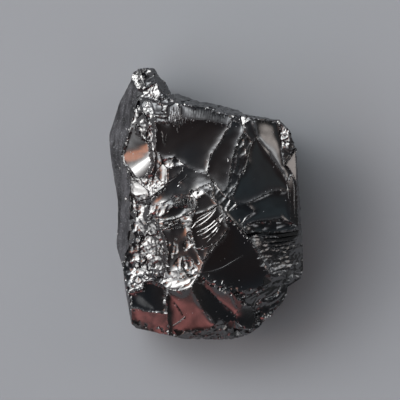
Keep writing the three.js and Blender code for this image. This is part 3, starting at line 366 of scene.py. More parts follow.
def cutter_over(sheet, step, grains):
    """Everything above a sheet with its grain, inside its rim."""
    low, high = sheet.low - OVERLAP, sheet.high + OVERLAP
    span = high - low
    shape = bmesh.new()
    place = Matrix.Translation((*(low + high) / 2, 0)) @ Matrix.Diagonal((*span, 1, 1))
    bmesh.ops.create_grid(
        shape,
        x_segments=max(2, math.ceil(span[0] / step)),
        y_segments=max(2, math.ceil(span[1] / step)),
        size=0.5,
        matrix=place,
    )
    random = np.random.default_rng(len(shape.verts))
    for v in shape.verts:
        if not v.is_boundary:
            v.co.xy += Vector(random.uniform(-JITTER, JITTER, 2) * step)
    bmesh.ops.triangulate(shape, faces=shape.faces, quad_method="SHORT_EDGE")
    x, y = np.array([v.co.xy for v in shape.verts]).T
    depth = sum((depth_at(sheet, x, y) for depth_at in grains), np.zeros(len(x)))
    z = np.maximum(CUT_FLOOR, sheet.height(x, y) - RECUT - depth)
    for v, height in zip(shape.verts, z):
        v.co.z = height
    rim = [e for e in shape.edges if e.is_boundary]
    raised = bmesh.ops.extrude_edge_only(shape, edges=rim)["geom"]
    for v in points_in(raised):
        v.co.z = CUT_TOP
    bmesh.ops.holes_fill(shape, edges=[e for e in raised if isinstance(e, bmesh.types.BMEdge)])
    made = solid_from(shape, "facet cutter")
    prism = solid_from(rim_prism(sheet.corners, 2 * CUT_FLOOR, CUT_TOP + 1), "rim")
    combine(made, "INTERSECT", [prism])
    return made


# ---- grain of the facets ----

LOUDNESS = 1.6  # brings the noise to about -1 to 1
FINER = 0.45  # size and depth of the second creases of a crumple, as a share of the first
DEEPER = 0.3  # how much deeper one scoop may start than the next, as a share of its size


def wobble(x, y, size, seed):
    """Smooth noise from -1 to 1 over points of the plan, about so many millimetres a bump."""
    values = [noise.noise((a / size, b / size, seed)) for a, b in zip(x, y)]
    return LOUDNESS * np.array(values)


def turned(x, y, degrees):
    """How far along a direction of the plan, and across it."""
    a = math.radians(degrees)
    return x * math.cos(a) + y * math.sin(a), y * math.cos(a) - x * math.sin(a)


def fading(sheet, x, y, margin):
    """0 on the rim of a facet, 1 from the given margin inwards."""
    return np.clip(sheet.rim_distance(x, y) / margin, 0, 1)


def grain(depth_at):
    """Makes a kind of grain. Called with its sizes, it gives a function of a sheet and of points
    of the plan, which tells how deep the grain goes there."""
    return lambda *sizes, **others: lambda sheet, x, y: depth_at(sheet, x, y, *sizes, **others)


@grain
def ripples(sheet, x, y, centre, length, depth, stray=5, patch=3.5, margin=1.2):
    """Rounded waves that spread from where the blow fell."""
    away = np.hypot(x - centre[0], y - centre[1]) + 0.5 * length * wobble(x, y, stray, 3)
    wave = 0.5 + 0.5 * np.sin(2 * np.pi * away / length)
    loud = 0.6 + 0.4 * wobble(x, y, patch, 9)
    return depth * wave * loud * fading(sheet, x, y, margin)


@grain
def comb(sheet, x, y, turn, spacing, depth, stray=2.5, patch=4, margin=0.5):
    """Fine ridges side by side, running along the given direction."""
    along, across = turned(x, y, turn)
    across = across + 0.5 * spacing * wobble(x, y, stray, 5)
    t = across / spacing
    ridge = abs(2 * (t - np.floor(t)) - 1)
    loud = np.clip(0.5 + wobble(along / 3, across * 1.5, patch / 4, 7), 0, 1)
    return depth * ridge * loud * fading(sheet, x, y, margin)


@grain
def crumple(sheet, x, y, size, depth, seed=0):
    """Folded like foil: creases at two scales."""
    coarse = abs(wobble(x, y, size, seed))
    fine = abs(wobble(x + 7, y, size * FINER, seed))
    return depth * (np.clip(coarse, 0, 1) + FINER * np.clip(fine, 0, 1))


@grain
def waver(sheet, x, y, size, depth, seed=0, margin=0.8):
    """A slow unevenness that keeps a glassy facet from being a mirror."""
    return depth * (0.5 + 0.5 * wobble(x, y, size, seed)) * fading(sheet, x, y, margin)


@grain
def hackle(sheet, x, y, size, lean, seed=0, turn=0, stretch=1, scoop=0.22):
    """Small scoops side by side, each leaning its own way, with sharp edges between them: where
    the stone tore instead of splitting. They may be drawn out along one direction."""
    random = np.random.default_rng(seed)
    reach = np.hypot(*(sheet.high - sheet.low)) / 2 + size
    middle = (sheet.low + sheet.high) / 2
    cells = np.arange(-reach, reach, size)
    us, vs = np.meshgrid(cells / stretch, cells)
    starts = np.stack([us.ravel() * stretch, vs.ravel()], 1)
    starts += random.uniform(0, size, starts.shape)
    leans = random.normal(0, lean, starts.shape)
    drops = random.uniform(0, DEEPER, len(starts))
    u, v = turned(x - middle[0], y - middle[1], turn)
    u = u / stretch
    depth = np.full(len(x), -np.inf)
    for (su, sv), (lu, lv), drop in zip(starts, leans, drops):
        du, dv = u - su, v - sv
        sunk = drop * size + lu * du + lv * dv - scoop * (du * du + dv * dv) / size
        depth = np.maximum(depth, sunk)
    return depth


def nearness(spots, x, y, steep=3, uneven=0.35, size=0.9):
    """1 in the middle of each spot (x, y, reach), 0 outside all of them, with uneven edges."""
    stray = uneven * wobble(x, y, size, 4)
    share = [steep * (1 - np.hypot(x - sx, y - sy) / reach + stray) for sx, sy, reach in spots]
    return np.clip(np.max(share, 0), 0, 1)


@grain
def around(sheet, x, y, spots, kind):
    """A grain only near some spots."""
    return kind(sheet, x, y) * nearness(spots, x, y)


@grain
def sparing(sheet, x, y, spots, kind):
    """A grain everywhere but near some spots."""
    return kind(sheet, x, y) * (1 - nearness(spots, x, y))


@grain
def inwards(sheet, x, y, margin, kind):
    """A grain that grows from nothing on the rim to its full depth at the margin."""
    return kind(sheet, x, y) * fading(sheet, x, y, margin)


@grain
def channel(sheet, x, y, start, start_z, climb, bend, curls, width, margins=(0.5, 0.7)):
    """A channel that climbs to the right, level across its middle line and curling up on both
    sides of it, below and above. The middle line bends up the face from its starting point. The
    channel fades out over the margins at the facet's left and right end."""
    left, right = sheet.ends(y)
    along = x - start[0]
    away = y - start[1] - bend * along**2
    curl = np.where(away < 0, *curls)
    bed = start_z + climb * along + curl * abs(away) ** 3 / (away**2 + width**2)
    cover = np.clip((x - left) / margins[0], 0, 1) * np.clip((right - x) / margins[1], 0, 1)
    return cover * np.maximum(0, sheet.height(x, y) - bed)


@grain
def sunk_floor(sheet, x, y, start, start_z, climb, climb_up, margin=0.4):
    """A floor of its own, sunk into the facet: it climbs to the right and up the face."""
    sunk = sheet.height(x, y) - start_z - climb * (x - start[0]) - climb_up * (y - start[1])
    return np.maximum(0, sunk) * fading(sheet, x, y, margin)


# ---- facets ----

# Smoother spots of the hackly left slope, which stay bright: x, y and reach.
SMOOTH_PATCHES = [
    (-10.7, -5.1, 1.5), (-13.4, -7.3, 0.7), (-8.9, -9.6, 0.8), (-12.7, -11.4, 0.9),
    (-13.8, -12.3, 0.8), (-9.4, -14, 0.9), (-13.6, -15.2, 0.9), (-14.2, -2, 0.7),
    (-11.8, -14.6, 0.7),
]

# The facets of the broken face: how deep each is hollowed, the step of its grid, its rim of
# corners, where fan0..3 stands for fan0 fan1 fan2 fan3, and its grains.
FACETS = {
    "left side, upper": (0, SIDE, "left0..8 side2..0"),
    "left side, middle": (0, SIDE, "left8..14 side4..2"),
    "left side, lower": (0, SIDE, "left14..19 side6..4"),
    "top side, left": (0, SIDE, "tip4 back0..2 top5..0 peak12"),
    "top side, right": (0, SIDE, "top5 back2 back3 top8..6"),
    "tip, bright chip": (0, FINE, "left0 side0 tip0 peak1 peak2 left1",
        hackle(1.1, 0.06, 16, scoop=0.1), hackle(0.45, 0.1, 17)),
    "tip, end": (0, FINE, "tip0..2 peak3..1", hackle(0.9, 0.6, 22), hackle(0.45, 0.2, 42)),
    "tip, right shoulder": (0, FINE, "peak3 tip2 tip3 peak5", hackle(0.8, 0.6, 23)),
    "tip, dark plate": (0.2, FINE, "peak2 peak3 peak5 peak4", hackle(0.9, 0.16, 18, 40, 1.8)),
    "tip, left chip": (0, FINE, "left1 peak2 peak4 left2",
        hackle(0.7, 0.1, 19, scoop=0.12), hackle(0.35, 0.1, 50)),
    "tip, right flank": (0, FINE, "peak5 tip3 tip4 peak11 peak6",
        hackle(0.8, 0.6, 24), hackle(0.4, 0.2, 43)),
    "tip, bright column": (0, FINE, "peak5 peak6 peak10 peak7",
        hackle(0.8, 0.05, 21, 80, 1.5, 0.06), hackle(0.35, 0.06, 41, scoop=0.1)),
    "tip, dark hollow": (0.3, FINE, "peak4 peak5 peak7 peak10..8 left3 left2",
        hackle(1.1, 0.24, 20), hackle(0.45, 0.12, 40)),
    "tip, notch": (0, FINE, "peak6 peak11 peak10", hackle(0.6, 0.2, 25)),
    "tip, lower shoulder": (0.2, FINE, "peak10..12 peak15", hackle(0.7, 0.2, 26)),
    "tip, foot": (0, COARSE, "peak11 tip4 peak12"),
    "grey plate": (0.2, FINE, "peak9 peak10 peak15 peak16 peak13",
        waver(1.2, 0.05), hackle(0.7, 0.05, 30, scoop=0.08)),
    "bright sliver": (0, FINE, "peak8 peak9 peak13 peak14",
        hackle(0.8, 0.06, 27, 70, 1.8, 0.1), hackle(0.35, 0.06, 51)),
    "left crumple, upper": (0.2, FINE, "left3 peak8 peak14 left4", hackle(0.7, 0.25, 10)),
    "left crumple, lower": (0.2, FINE, "left4 peak14 peak19 peak18 bowl0 left5",
        hackle(0.8, 0.25, 11)),
    "neck, upper": (0, FINE, "peak14 peak13 peak17 peak19", hackle(0.7, 0.28, 12)),
    "neck, lower": (0.2, FINE, "peak18 peak19 peak17 peak21 bowl2 bowl1 peak20 bowl0",
        hackle(0.8, 0.3, 13, 70, 1.4), hackle(0.4, 0.14, 33)),
    "combed strip": (0.2, FINE, "peak15 peak12 top0 lip1 lip0 peak17 peak13 peak16",
        comb(86, 0.42, 0.05), waver(1.2, 0.04)),
    "top ledge": (0.15, FINE, "top0..4 seam0 lip3..1",
        waver(1.5, 0.05), comb(88, 0.5, 0.03, patch=2)),
    "top notch": (0, COARSE, "top4 top5 seam1 seam0"),
    "top chip": (0, FINE, "top5 top6 seam1", hackle(0.7, 0.05, 48, scoop=0.08)),
    "upper hollow": (0.3, COARSE, "lip0..3 hackle0..4 hollow0..4 peak21 peak17",
        ripples((-8, 20), 3.1, 0.03), waver(2.5, 0.04)),
    "lower hollow": (0.03, COARSE, "hollow1 hollow0 hackle4 crest3..0 lens0..4 slant0..3",
        waver(1.5, 0.05), crumple(2.6, 0.03, 2)),
    "black triangle": (0.02, COARSE, "slant2 slant3 hollow1 hollow5 hollow6", waver(1.5, 0.05)),
    "sparkling knot": (0, FINE, "hollow6 hollow5 hollow1..3 hollow7", hackle(0.7, 0.42, 14)),
    "hackled band": (0.12, COARSE, "hackle0 lip3 seam0..6 crest4 crest3 hackle4..1",
        ripples((5, 18), 2.4, 0.03), waver(1.8, 0.06)),
    "rough strip": (0.1, FINE, "seam2 strip0..4 knee1 crest4 seam6..3",
        hackle(0.8, 0.16, 15, 75, 1.6), crumple(1.2, 0.04, 3)),
    "upper right corner": (0.15, COARSE, "seam1 top6 scoop1 strip0 seam2"),
    "slate face": (0.3, COARSE, "knee1 strip4..0 scoop1..4 edge0 step4..0 knee0",
        ripples((4, 2), 2.7, 0.03), waver(2, 0.03)),
    "slate face under the step": (0.25, COARSE,
        "step0 foot1..3 step4 edge0 edge1 arch4..0 knee3 knee2",
        ripples((4, -2), 2.2, 0.03), waver(1.6, 0.04)),
    "knee": (0.2, COARSE, "spine1 knee1 knee0 step0 knee2 knee3 arch0 spine2", waver(1.5, 0.06)),
    "corner scoop": (0.5, COARSE, "top6 scoop1..8 top8 top7",
        ripples((8, 18), 1.9, 0.02), waver(1.6, 0.04)),
    "corner scoop, bright chip": (0, FINE, "scoop8 scoop7 scoop9 top9 top8",
        hackle(0.8, 0.14, 46), hackle(0.4, 0.1, 47)),
    "corner scoop, foot": (0, FINE, "scoop7 scoop6 scoop10 scoop9",
        waver(0.8, 0.05), hackle(0.9, 0.05, 62, scoop=0.05)),
    "corner scoop, lower chip": (0, FINE, "scoop6 scoop5 edge4 scoop11 scoop10", waver(1, 0.04)),
    "corner edge": (0, COARSE, "top8 back3 right0 scoop11..9 top9"),
    "right edge, upper": (0, COARSE, "scoop11 right0 right1 edge4"),
    "right edge, inner": (0, COARSE, "scoop4 edge0..4 scoop5"),
    "right edge, outer": (0, COARSE, "edge4..2 right2 right1"),
    "arch lip": (0, COARSE, "arch0..4 edge1 edge2 under3..0"),
    "arch floor": (0.2, FINE, "arch0 under0..3 edge2 under4..7", hackle(1.3, 0.08, 29, 20, 1.6)),
    "ledges": (0.2, FINE, "under7..4 edge2 right2..4 spine7..4 arch0",
        comb(8, 0.9, 0.14), hackle(1.1, 0.22, 28, 14, 2.2, 0.12), hackle(0.45, 0.12, 44, 14, 1.5)),
    "small dark plate": (0.15, COARSE, "spine0 plate0..4 fan7 fan8", waver(1.6, 0.02)),
    "crest": (0, FINE, "plate3 crest0..3 plate0..2", hackle(0.6, 0.1, 38, scoop=0.12)),
    "crest, right": (0.2, FINE, "crest3 crest4 knee1 spine1 spine0 plate0",
        hackle(0.7, 0.14, 39, 50, 1.8)),
    "fan": (0.2, COARSE, "spine0 spine1 fan0..8", waver(2, 0.03)),
    "great black plate": (0.2, COARSE,
        "spine1 spine2 arch0 spine4..7 low4 low3 brow2..0 fan9 fan3..0",
        ripples((-1, -14), 4, 0.02), waver(4, 0.03)),
    "lens, comb": (0, FINE, "lens3..0 crest0 plate3 plate4 lens10 lens12 lens13",
        comb(78, 0.45, 0.09)),
    "lens, bright band": (0, FINE, "lens4 lens3 lens13 lens11 lens14 lens5",
        hackle(0.6, 0.16, 2, 60, 1.8), waver(1.2, 0.06)),
    "lens, floor": (0.3, COARSE, "lens13 lens12 lens10..5 lens14 lens11",
        ripples((-5, 1), 0.9, 0.03)),
    "lined shelf": (0, FINE, "lens6..10 plate4 fan7 fan6 slope17 slope16 slope7",
        comb(12, 0.5, 0.12), hackle(0.8, 0.14, 4, 12, 2.5)),
    "bowl": (0, FINE, "left5 bowl0 peak20 bowl1..7 left10..6",
        channel((-16.7, 9), 11.6, 0.37, 0.075, (0.55, 0.33), 5), ripples((-13, 14), 1.7, 0.02)),
    "bowl, right wall": (0, FINE, "bowl2 peak21 hollow4 hollow3 hollow7 fin0 bowl5..3",
        hackle(0.7, 0.12, 3, 80, 1.5)),
    "grey fin": (0, FINE, "fin0 hollow7 hollow6 slant2 fin1",
        waver(0.9, 0.12), hackle(0.8, 0.12, 61, 75, 2.2, 0.1)),
    "crumple under the bowl": (0.2, FINE,
        "left10 bowl7..5 fin0 fin1 slant2..0 slope1 slope0 left11",
        hackle(1.2, 0.12, 4, scoop=0.12), hackle(0.4, 0.16, 5)),
    "bright left facet": (0, FINE, "left11 slope0..4 left12",
        waver(1.5, 0.04), hackle(0.7, 0.04, 52, scoop=0.04)),
    "dark left facet": (0.2, FINE, "slope4..1 slant0 lens4 slope5 slope6", hackle(0.9, 0.2, 7)),
    "left slope": (0.15, FINE, "left12 slope4 slope6 slope5 lens4..6 slope7..15 left17..13",
        inwards(1.2, sparing(SMOOTH_PATCHES, hackle(2.4, 0.24, 1, 15, 1.4))),
        sparing(SMOOTH_PATCHES, hackle(0.9, 0.14, 2, 15, 1.5, 0.16)),
        around([(-11, -8, 2.6), (-9.6, -11.8, 2.4)], hackle(1, 0.2, 60, 30, 1.6)),
        hackle(0.36, 0.05, 53, scoop=0.12)),
    "brown hollow": (0.08, FINE, "slope7 slope16 slope17 fan6..3 fan9 wing2 wing9 wing8 slope10..8",
        waver(1.8, 0.08),
        around([(-7.2, -8.9, 1.7), (-4.9, -11.8, 1.5)], hackle(0.6, 0.1, 9, 78, 2.4)),
        around([(-3.2, -12.4, 1.6), (-3, -6.3, 0.9), (-3.6, -8.1, 1)],
            hackle(0.8, 0.12, 8, scoop=0.12))),
    "wing": (0.15, FINE, "slope11 wing0..2 fan9 wing3..7 slope12",
        hackle(1, 0.1, 31, 30, 2), waver(1, 0.05)),
    "wing, upper": (0, FINE, "slope10 wing8 wing9 wing2..0 slope11",
        hackle(0.7, 0.1, 32, scoop=0.1)),
    "lower left hollow": (0.5, COARSE, "left17 slope15..12 wing7 fall0 fall1 fall3 left18",
        sunk_floor((-14.9, -20.6), 12.55, 0.1, 0.22), ripples((-10, -16), 2.2, 0.03),
        waver(2.2, 0.05)),
    "lower left fall": (0, COARSE, "left18 fall3 fall1 fall2 fall4 side6 left19",
        waver(1.8, 0.06), crumple(2.5, 0.04, 2)),
    "lower middle fall": (0.3, COARSE, "wing7..4 fall5..8 fall2..0",
        ripples((-2, -17), 3, 0.03), waver(1.8, 0.05)),
    "dark strip": (0.15, COARSE, "wing4 wing3 groove0..3 fall6 fall5", waver(2.2, 0.03)),
    "wing end": (0, COARSE, "fan9 brow0 groove0 wing3"),
    "groove wall": (0.15, COARSE, "brow0..2 brow4 groove2..0"),
    "groove foot": (0, COARSE, "brow2..4"),
    "low black facet": (0, COARSE, "groove2 brow4 brow3 low0..2 groove3"),
    "lower right": (0.3, FINE, "low3 low4 spine7 right4 low7 low6 low1 low0 brow3 brow2",
        comb(35, 1.5, 0.3), hackle(1.5, 0.2, 34, 35, 2.2, 0.14), hackle(0.6, 0.2, 35, 35, 2)),
    "lower right edge": (0, FINE, "low1 low6 low5 low2",
        hackle(0.9, 0.5, 36, 35, 1.4), hackle(0.4, 0.2, 64)),
    "lower rim": (0, FINE, "fall6 groove3 low2 low5 rim0..2 fall2 fall8 fall7",
        comb(6, 1.1, 0.45), hackle(0.9, 0.4, 37, 40, 1.5), hackle(0.45, 0.2, 45)),
}


# ---- ribs and chips ----

RIB_STEP = 0.3  # spacing of the sections of a rib
RIB_RISE = 0.5  # height of its crest, in half widths
RIB_SINK, RIB_FOOT = 0.02, 0.8  # how far its sides and its foot lie in the stone
CHIP_STRETCH = 1.6  # the longest chips are so many times as long as round ones
CHIP_SIZES = 0.5, 1.4  # spread of their sizes
LOWEST_CHIP = 1.0  # no chips are struck below this height
FIRST_SEED = 50  # of the chips on the first ridge


def face_height(sheets, x, y):
    """Height of the broken face over points of the plan."""
    x, y = np.atleast_1d(x), np.atleast_1d(y)
    lowest = np.full(len(x), CUT_TOP)
    for sheet in sheets:
        within = sheet.inside(x, y)
        if within.any():
            lowest[within] = np.minimum(lowest[within], sheet.height(x[within], y[within]))
    return np.where(lowest < CUT_TOP, lowest, 0)


def through(points, spacing):
    """Points along a smooth curve through the given ones."""
    points = np.array(points, float)
    ends = [2 * points[0] - points[1], *points, 2 * points[-1] - points[-2]]
    curve = []
    for a, b, c, d in zip(ends, ends[1:], ends[2:], ends[3:]):
        steps = max(1, round(math.dist(b, c) / spacing))
        for t in np.arange(steps) / steps:
            curve.append(
                b + t * (c - a) / 2 + t * t * (a - 2.5 * b + 2 * c - d / 2)
                + t**3 * (1.5 * (b - c) + (d - a) / 2)
            )
    return np.array([*curve, points[-1]])


def rib(sheets, path, half):
    """A thin crooked ridge laid along the face, sharp on top and fading out at both ends."""
    line = through(path, RIB_STEP)
    count = len(line)
    along = unit(np.gradient(line, axis=0))
    side = np.stack([-along[:, 1], along[:, 0]], 1)
    z = face_height(sheets, *line.T) - RECUT
    swell = half * np.sin(np.pi * (np.arange(count) + 0.5) / count) ** 0.5
    shape = bmesh.new()
    section = None
    for at, out, height, w in zip(line, side, z, swell):
        left, right = at - out * w, at + out * w
        side_z, foot_z, crest_z = height - RIB_SINK, height - RIB_FOOT, height + RIB_RISE * w
        spots = [(*left, side_z), (*at, foot_z), (*right, side_z), (*at, crest_z)]
        if section is None:
            section = shape.faces.new([shape.verts.new(spot) for spot in spots])
            ring = list(section.verts)
            continue
        new = bmesh.ops.extrude_face_region(shape, geom=[section])["geom"]
        if len(shape.verts) > 2 * len(spots):  # the first section stays, as the rib's end
            bmesh.ops.delete(shape, geom=[section], context="FACES_ONLY")
        section = next(g for g in new if isinstance(g, bmesh.types.BMFace))
        verts = points_in(new)
        follow = [min(verts, key=lambda v: (v.co - old.co).length) for old in ring]
        for v, spot in zip(follow, spots):
            v.co = spot
        ring = follow
    return solid_from(shape, "rib")


def chip_at(x, y, height, radius, bite, random):
    """One many-sided cutter, sunk into the face."""
    tumble = Euler(random.uniform(-math.pi, math.pi, 3)).to_matrix().to_4x4()
    swing = random.uniform(-math.pi, math.pi)
    long = random.uniform(1, CHIP_STRETCH)
    shape = bmesh.new()
    bmesh.ops.create_icosphere(
        shape,
        subdivisions=1,
        radius=radius,
        matrix=Matrix.Translation((x, y, height + radius - bite))
        @ Matrix.Rotation(swing, 4, "Z")
        @ Matrix.Diagonal((long, 1 / long, 1, 1))
        @ tumble,
    )
    return solid_from(shape, "chip")


def ridge_chips(sheets, path, spacing, radius, bite, spread, seed):
    """Chips struck from the crest of a ridge."""
    random = np.random.default_rng(seed)
    if isinstance(path, str):
        path = rim_corners(path, named)[:, :2]
    spots = through(path, spacing)
    spots = spots + random.normal(0, spread, spots.shape)
    heights = face_height(sheets, *spots.T) - RECUT
    made = []
    for (x, y), z in zip(spots, heights):
        size = random.uniform(*CHIP_SIZES)
        if z > LOWEST_CHIP:
            made.append(chip_at(x, y, z, radius * size, bite * size, random))
    return made


# ---- finishes ----

# Numbers of the Mix node's sockets that work on colours.
MIX_SHARE, MIX_FIRST, MIX_SECOND, MIX_COLOUR = 0, 6, 7, 2


class Link:
    """A shader socket that can be added, multiplied and so on like a number."""

    def __init__(self, nodes, socket):
        self.nodes, self.socket = nodes, socket

    def math(self, operation, *values):
        return self.nodes.node("ShaderNodeMath", {"operation": operation}, dict(enumerate(values)))

    def __add__(self, other):
        return self.math("ADD", self, other)

    def __sub__(self, other):
        return self.math("SUBTRACT", self, other)

    def __rsub__(self, other):
        return self.math("SUBTRACT", other, self)

    def __mul__(self, other):
        return self.math("MULTIPLY", self, other)

    __radd__, __rmul__ = __add__, __mul__


class Nodes:
    """A node tree, and the one way its nodes are added."""

    def __init__(self, tree):
        self.tree = tree

    def node(self, kind, settings=None, inputs=None, output=0):
        """Adds a node: its settings first, then the values or links of its sockets."""
        node = self.tree.nodes.new(kind)
        for name, value in (settings or {}).items():
            if name == "stops":
                ramp = node.color_ramp.elements
                while len(ramp) < len(value):
                    ramp.new(0.5)
                for stop, (position, grey) in zip(ramp, value):
                    stop.position, stop.color = position, (grey, grey, grey, 1)
            else:
                setattr(node, name, value)
        for name, value in (inputs or {}).items():
            self.feed(node.inputs[name], value)
        return Link(self, node.outputs[output])

    def feed(self, socket, value):
        if isinstance(value, Link):
            self.tree.links.new(value.socket, socket)
        else:
            socket.default_value = value

    def ramp(self, value, *stops):
        return self.node("ShaderNodeValToRGB", {"stops": stops}, {"Fac": value})

    def blend(self, share, first, second):
        """A colour between two colours."""
        sockets = {MIX_SHARE: share, MIX_FIRST: first, MIX_SECOND: second}
        return self.node("ShaderNodeMix", {"data_type": "RGBA"}, sockets, MIX_COLOUR)

    def vector(self, operation, first, second, output=0):
        sockets = {0: first, "Scale" if operation == "SCALE" else 1: second}
        return self.node("ShaderNodeVectorMath", {"operation": operation}, sockets, output)


class Finish(Nodes):
    """A material made of nodes around one Principled shader."""

    def __init__(self, name):
        self.material = bpy.data.materials.new(name)
        self.material.use_nodes = True
        super().__init__(self.material.node_tree)
        self.shader = self.tree.nodes["Principled BSDF"]
        self.place = self.node("ShaderNodeTexCoord", output="Object")

    def set(self, **values):
        """Values or links of the Principled shader's own sockets."""
        for name, value in values.items():
            self.feed(self.shader.inputs[name.replace("_", " ")], value)

    def at(self, per_mm, stretch=(1, 1, 1)):
        """Place on the stone, so many units to a millimetre."""
        sockets = {"Vector": self.place, "Scale": [s * per_mm / MM for s in stretch]}
        return self.node("ShaderNodeMapping", None, sockets)

    def noise(self, per_mm, detail=3, roughness=0.5, distortion=0, stretch=(1, 1, 1)):
        """Noise from 0 to 1 with about so many grains to a millimetre."""
        values = {
            "Vector": self.at(per_mm, stretch), "Scale": 1, "Detail": detail,
            "Roughness": roughness, "Distortion": distortion,
        }
        return self.node("ShaderNodeTexNoise", None, values)

    def dots(self, per_mm, radius):
        """Round specks, 1 in the middle and 0 outside."""
        values = {"Vector": self.at(per_mm), "Scale": 1}
        return self.ramp(self.node("ShaderNodeTexVoronoi", None, values), (0, 1), (radius, 0))

    def bump(self, height, reach_mm, strength):
        values = {"Height": height, "Distance": reach_mm * MM, "Strength": strength}
        return self.node("ShaderNodeBump", None, values)


def glassy_finish():
    """Fresh fracture: near-black glass with a metallic lustre, duller where it is hackly."""
    finish = Finish("glassy fracture")
    hackly = finish.node("ShaderNodeAttribute", {"attribute_name": "hackly"}, output="Fac")
    dust = finish.dots(0.62, 0.085)
    tint = finish.ramp(finish.noise(0.06, detail=1), (0.42, 0), (0.58, 1))
    stone = finish.blend(tint, (0.008, 0.005, 0.005, 1), (0.005, 0.0065, 0.009, 1))
    base = finish.blend(dust, stone, (0.32, 0.33, 0.35, 1))
    haze = finish.ramp(finish.noise(0.25, detail=3, roughness=0.6), (0.35, 0), (0.7, 1))
    roughness = 0.09 + 0.07 * haze + 0.08 * hackly + 0.3 * dust
    swell = finish.noise(0.45, detail=2, distortion=0.5)
    grain = finish.noise(1.9, detail=4, roughness=0.6)
    height = 0.35 * swell + 0.05 * grain + hackly * (0.4 * grain) + 0.1 * dust
    normal = finish.bump(height, reach_mm=0.05, strength=0.9)
    finish.set(Base_Color=base, Roughness=roughness, IOR=2.1, Normal=normal)
    return finish.material


def dull_finish():
    """Natural joint face: satin dark grey, faintly streaked along its length, with pale specks."""
    finish = Finish("dull joint face")
    blotch = finish.noise(0.25, detail=4, roughness=0.6)
    pits = finish.noise(2.2, detail=5, roughness=0.7)
    streaks = finish.noise(0.9, detail=3, stretch=(1, 0.12, 0.6))
    specks = finish.dots(1.9, 0.36)
    clay = finish.ramp(0.5 * blotch + 0.5 * streaks, (0.38, 0), (0.62, 1))
    stone = finish.blend(clay, (0.006, 0.006, 0.007, 1), (0.070, 0.070, 0.077, 1))
    shown = specks * finish.ramp(pits, (0.44, 0), (0.64, 1))
    base = finish.blend(shown, stone, (0.36, 0.37, 0.39, 1))
    roughness = 0.38 + 0.3 * blotch
    height = 1.3 * pits + 0.8 * streaks + 0.15 * specks
    normal = finish.bump(height, reach_mm=0.14, strength=0.9)
    finish.set(Base_Color=base, Roughness=roughness, IOR=1.27, Normal=normal)
    return finish.material


def floor_finish():
    finish = Finish("pale floor")
    mottle = finish.noise(0.02, detail=4)
    base = finish.blend(mottle, (0.325, 0.34, 0.365, 1), (0.345, 0.36, 0.385, 1))
    finish.set(Base_Color=base, Roughness=0.75 + 0.1 * mottle)
    return finish.material


# ---- walls and back ----

WALL_STEP = 0.8  # spacing of the lattice that roughens the walls
WALL_PATCH = 0.05  # smaller faces than this are fine enough already
WALL_GRAIN = [(1, 0.9), (0.6, 2.1), (0.4, 4.7)]  # share, and grains to a millimetre
HACKLE_GRAINS, LEDGE_GRAINS = (0.9, 0.9, 0.35), (0.6, 0.07, 0.6)  # the same along X, Y and Z
PIT_GRAINS, PIT_SHIFT, PIT_RIM = 1.3, Vector((9, 2, 5)), 0.25
JOINT_GRAIN, JOINT_PIT, JOINT_LEDGE = 0.09, 0.5, 0.2  # depths of relief on the joint faces,
BROKEN_GRAIN, BROKEN_HACKLE = 0.2, 0.5  # on the broken walls
UNDER_GRAIN, UNDER_PIT = 0.06, 0.35  # and on the underside
UNDERSIDE = 0.01  # what lies lower than this belongs to the underside
WALL_TILT = 0.42  # a wall's normal points up less than this
BACK_TILT = -0.95  # and that of the back less than this
SIDE_TILT, SIDE_LEAN, SIDE_EDGE = 0.6, -0.55, -13.4  # most of the left side's normal and place
BROKEN_SPREAD = 2  # how many points further a broken edge tells
WELD = 1e-4  # points of the plain solid that are nearer than this are the same
SHARP_ANGLE, BROKEN_ANGLE = math.radians(14), math.radians(40)


def is_joint(face):
    """Whether a face belongs to the natural joints: the left side and the back."""
    n, at = face.normal, face.calc_center_median()
    return n.z < BACK_TILT or (n.z < SIDE_TILT and n.x < SIDE_LEAN and at.x < SIDE_EDGE)


def is_wall(face):
    return face.normal.z < WALL_TILT or is_joint(face)


def lattice(shape, chosen, step):
    """Cuts the chosen faces by planes across X, Y and Z, so that they can be roughened."""
    faces = [f for f in shape.faces if chosen(f)]
    edges = dict.fromkeys(e for f in faces for e in f.edges)
    parts = [*faces, *edges, *dict.fromkeys(v for e in edges for v in e.verts)]
    places = np.array([v.co for v in shape.verts])
    for axis, (low, high) in enumerate(zip(places.min(0), places.max(0))):
        across = np.eye(3)[axis]
        for place in np.arange(low + step / 2, high, step):
            cut = bmesh.ops.bisect_plane(
                shape, geom=parts, dist=TINY, plane_co=across * place, plane_no=across
            )
            parts = cut["geom"]


def drawn_noise(place, grains):
    return abs(noise.noise(Vector([c * n for c, n in zip(place, grains)])))


def weather(shape):
    """Roughens the walls and the back: pits and grain, always into the stone."""
    shape.normal_update()
    moves = []
    for v in shape.verts:
        faces = v.link_faces
        walls = [f for f in faces if is_wall(f)]
        if not walls:
            continue
        share = len(walls) / len(faces)
        dull = sum(is_joint(f) for f in walls) / len(walls)
        at = v.co
        grain = sum(part * abs(noise.noise(at * grains)) for part, grains in WALL_GRAIN)
        pit = max(0, noise.noise(at * PIT_GRAINS + PIT_SHIFT) - PIT_RIM)
        ledge, hackle_here = drawn_noise(at, LEDGE_GRAINS), drawn_noise(at, HACKLE_GRAINS)
        joint = JOINT_GRAIN * grain + JOINT_PIT * pit + JOINT_LEDGE * ledge
        broken = BROKEN_GRAIN * grain + BROKEN_HACKLE * hackle_here
        depth = dull * joint + (1 - dull) * broken
        if at.z < UNDERSIDE:
            depth = UNDER_GRAIN * grain + UNDER_PIT * pit if share == 1 and dull == 1 else 0
        moves.append((v, -depth * share * v.normal))
    for v, move in moves:
        v.co += move
        v.co.z = max(0, v.co.z)


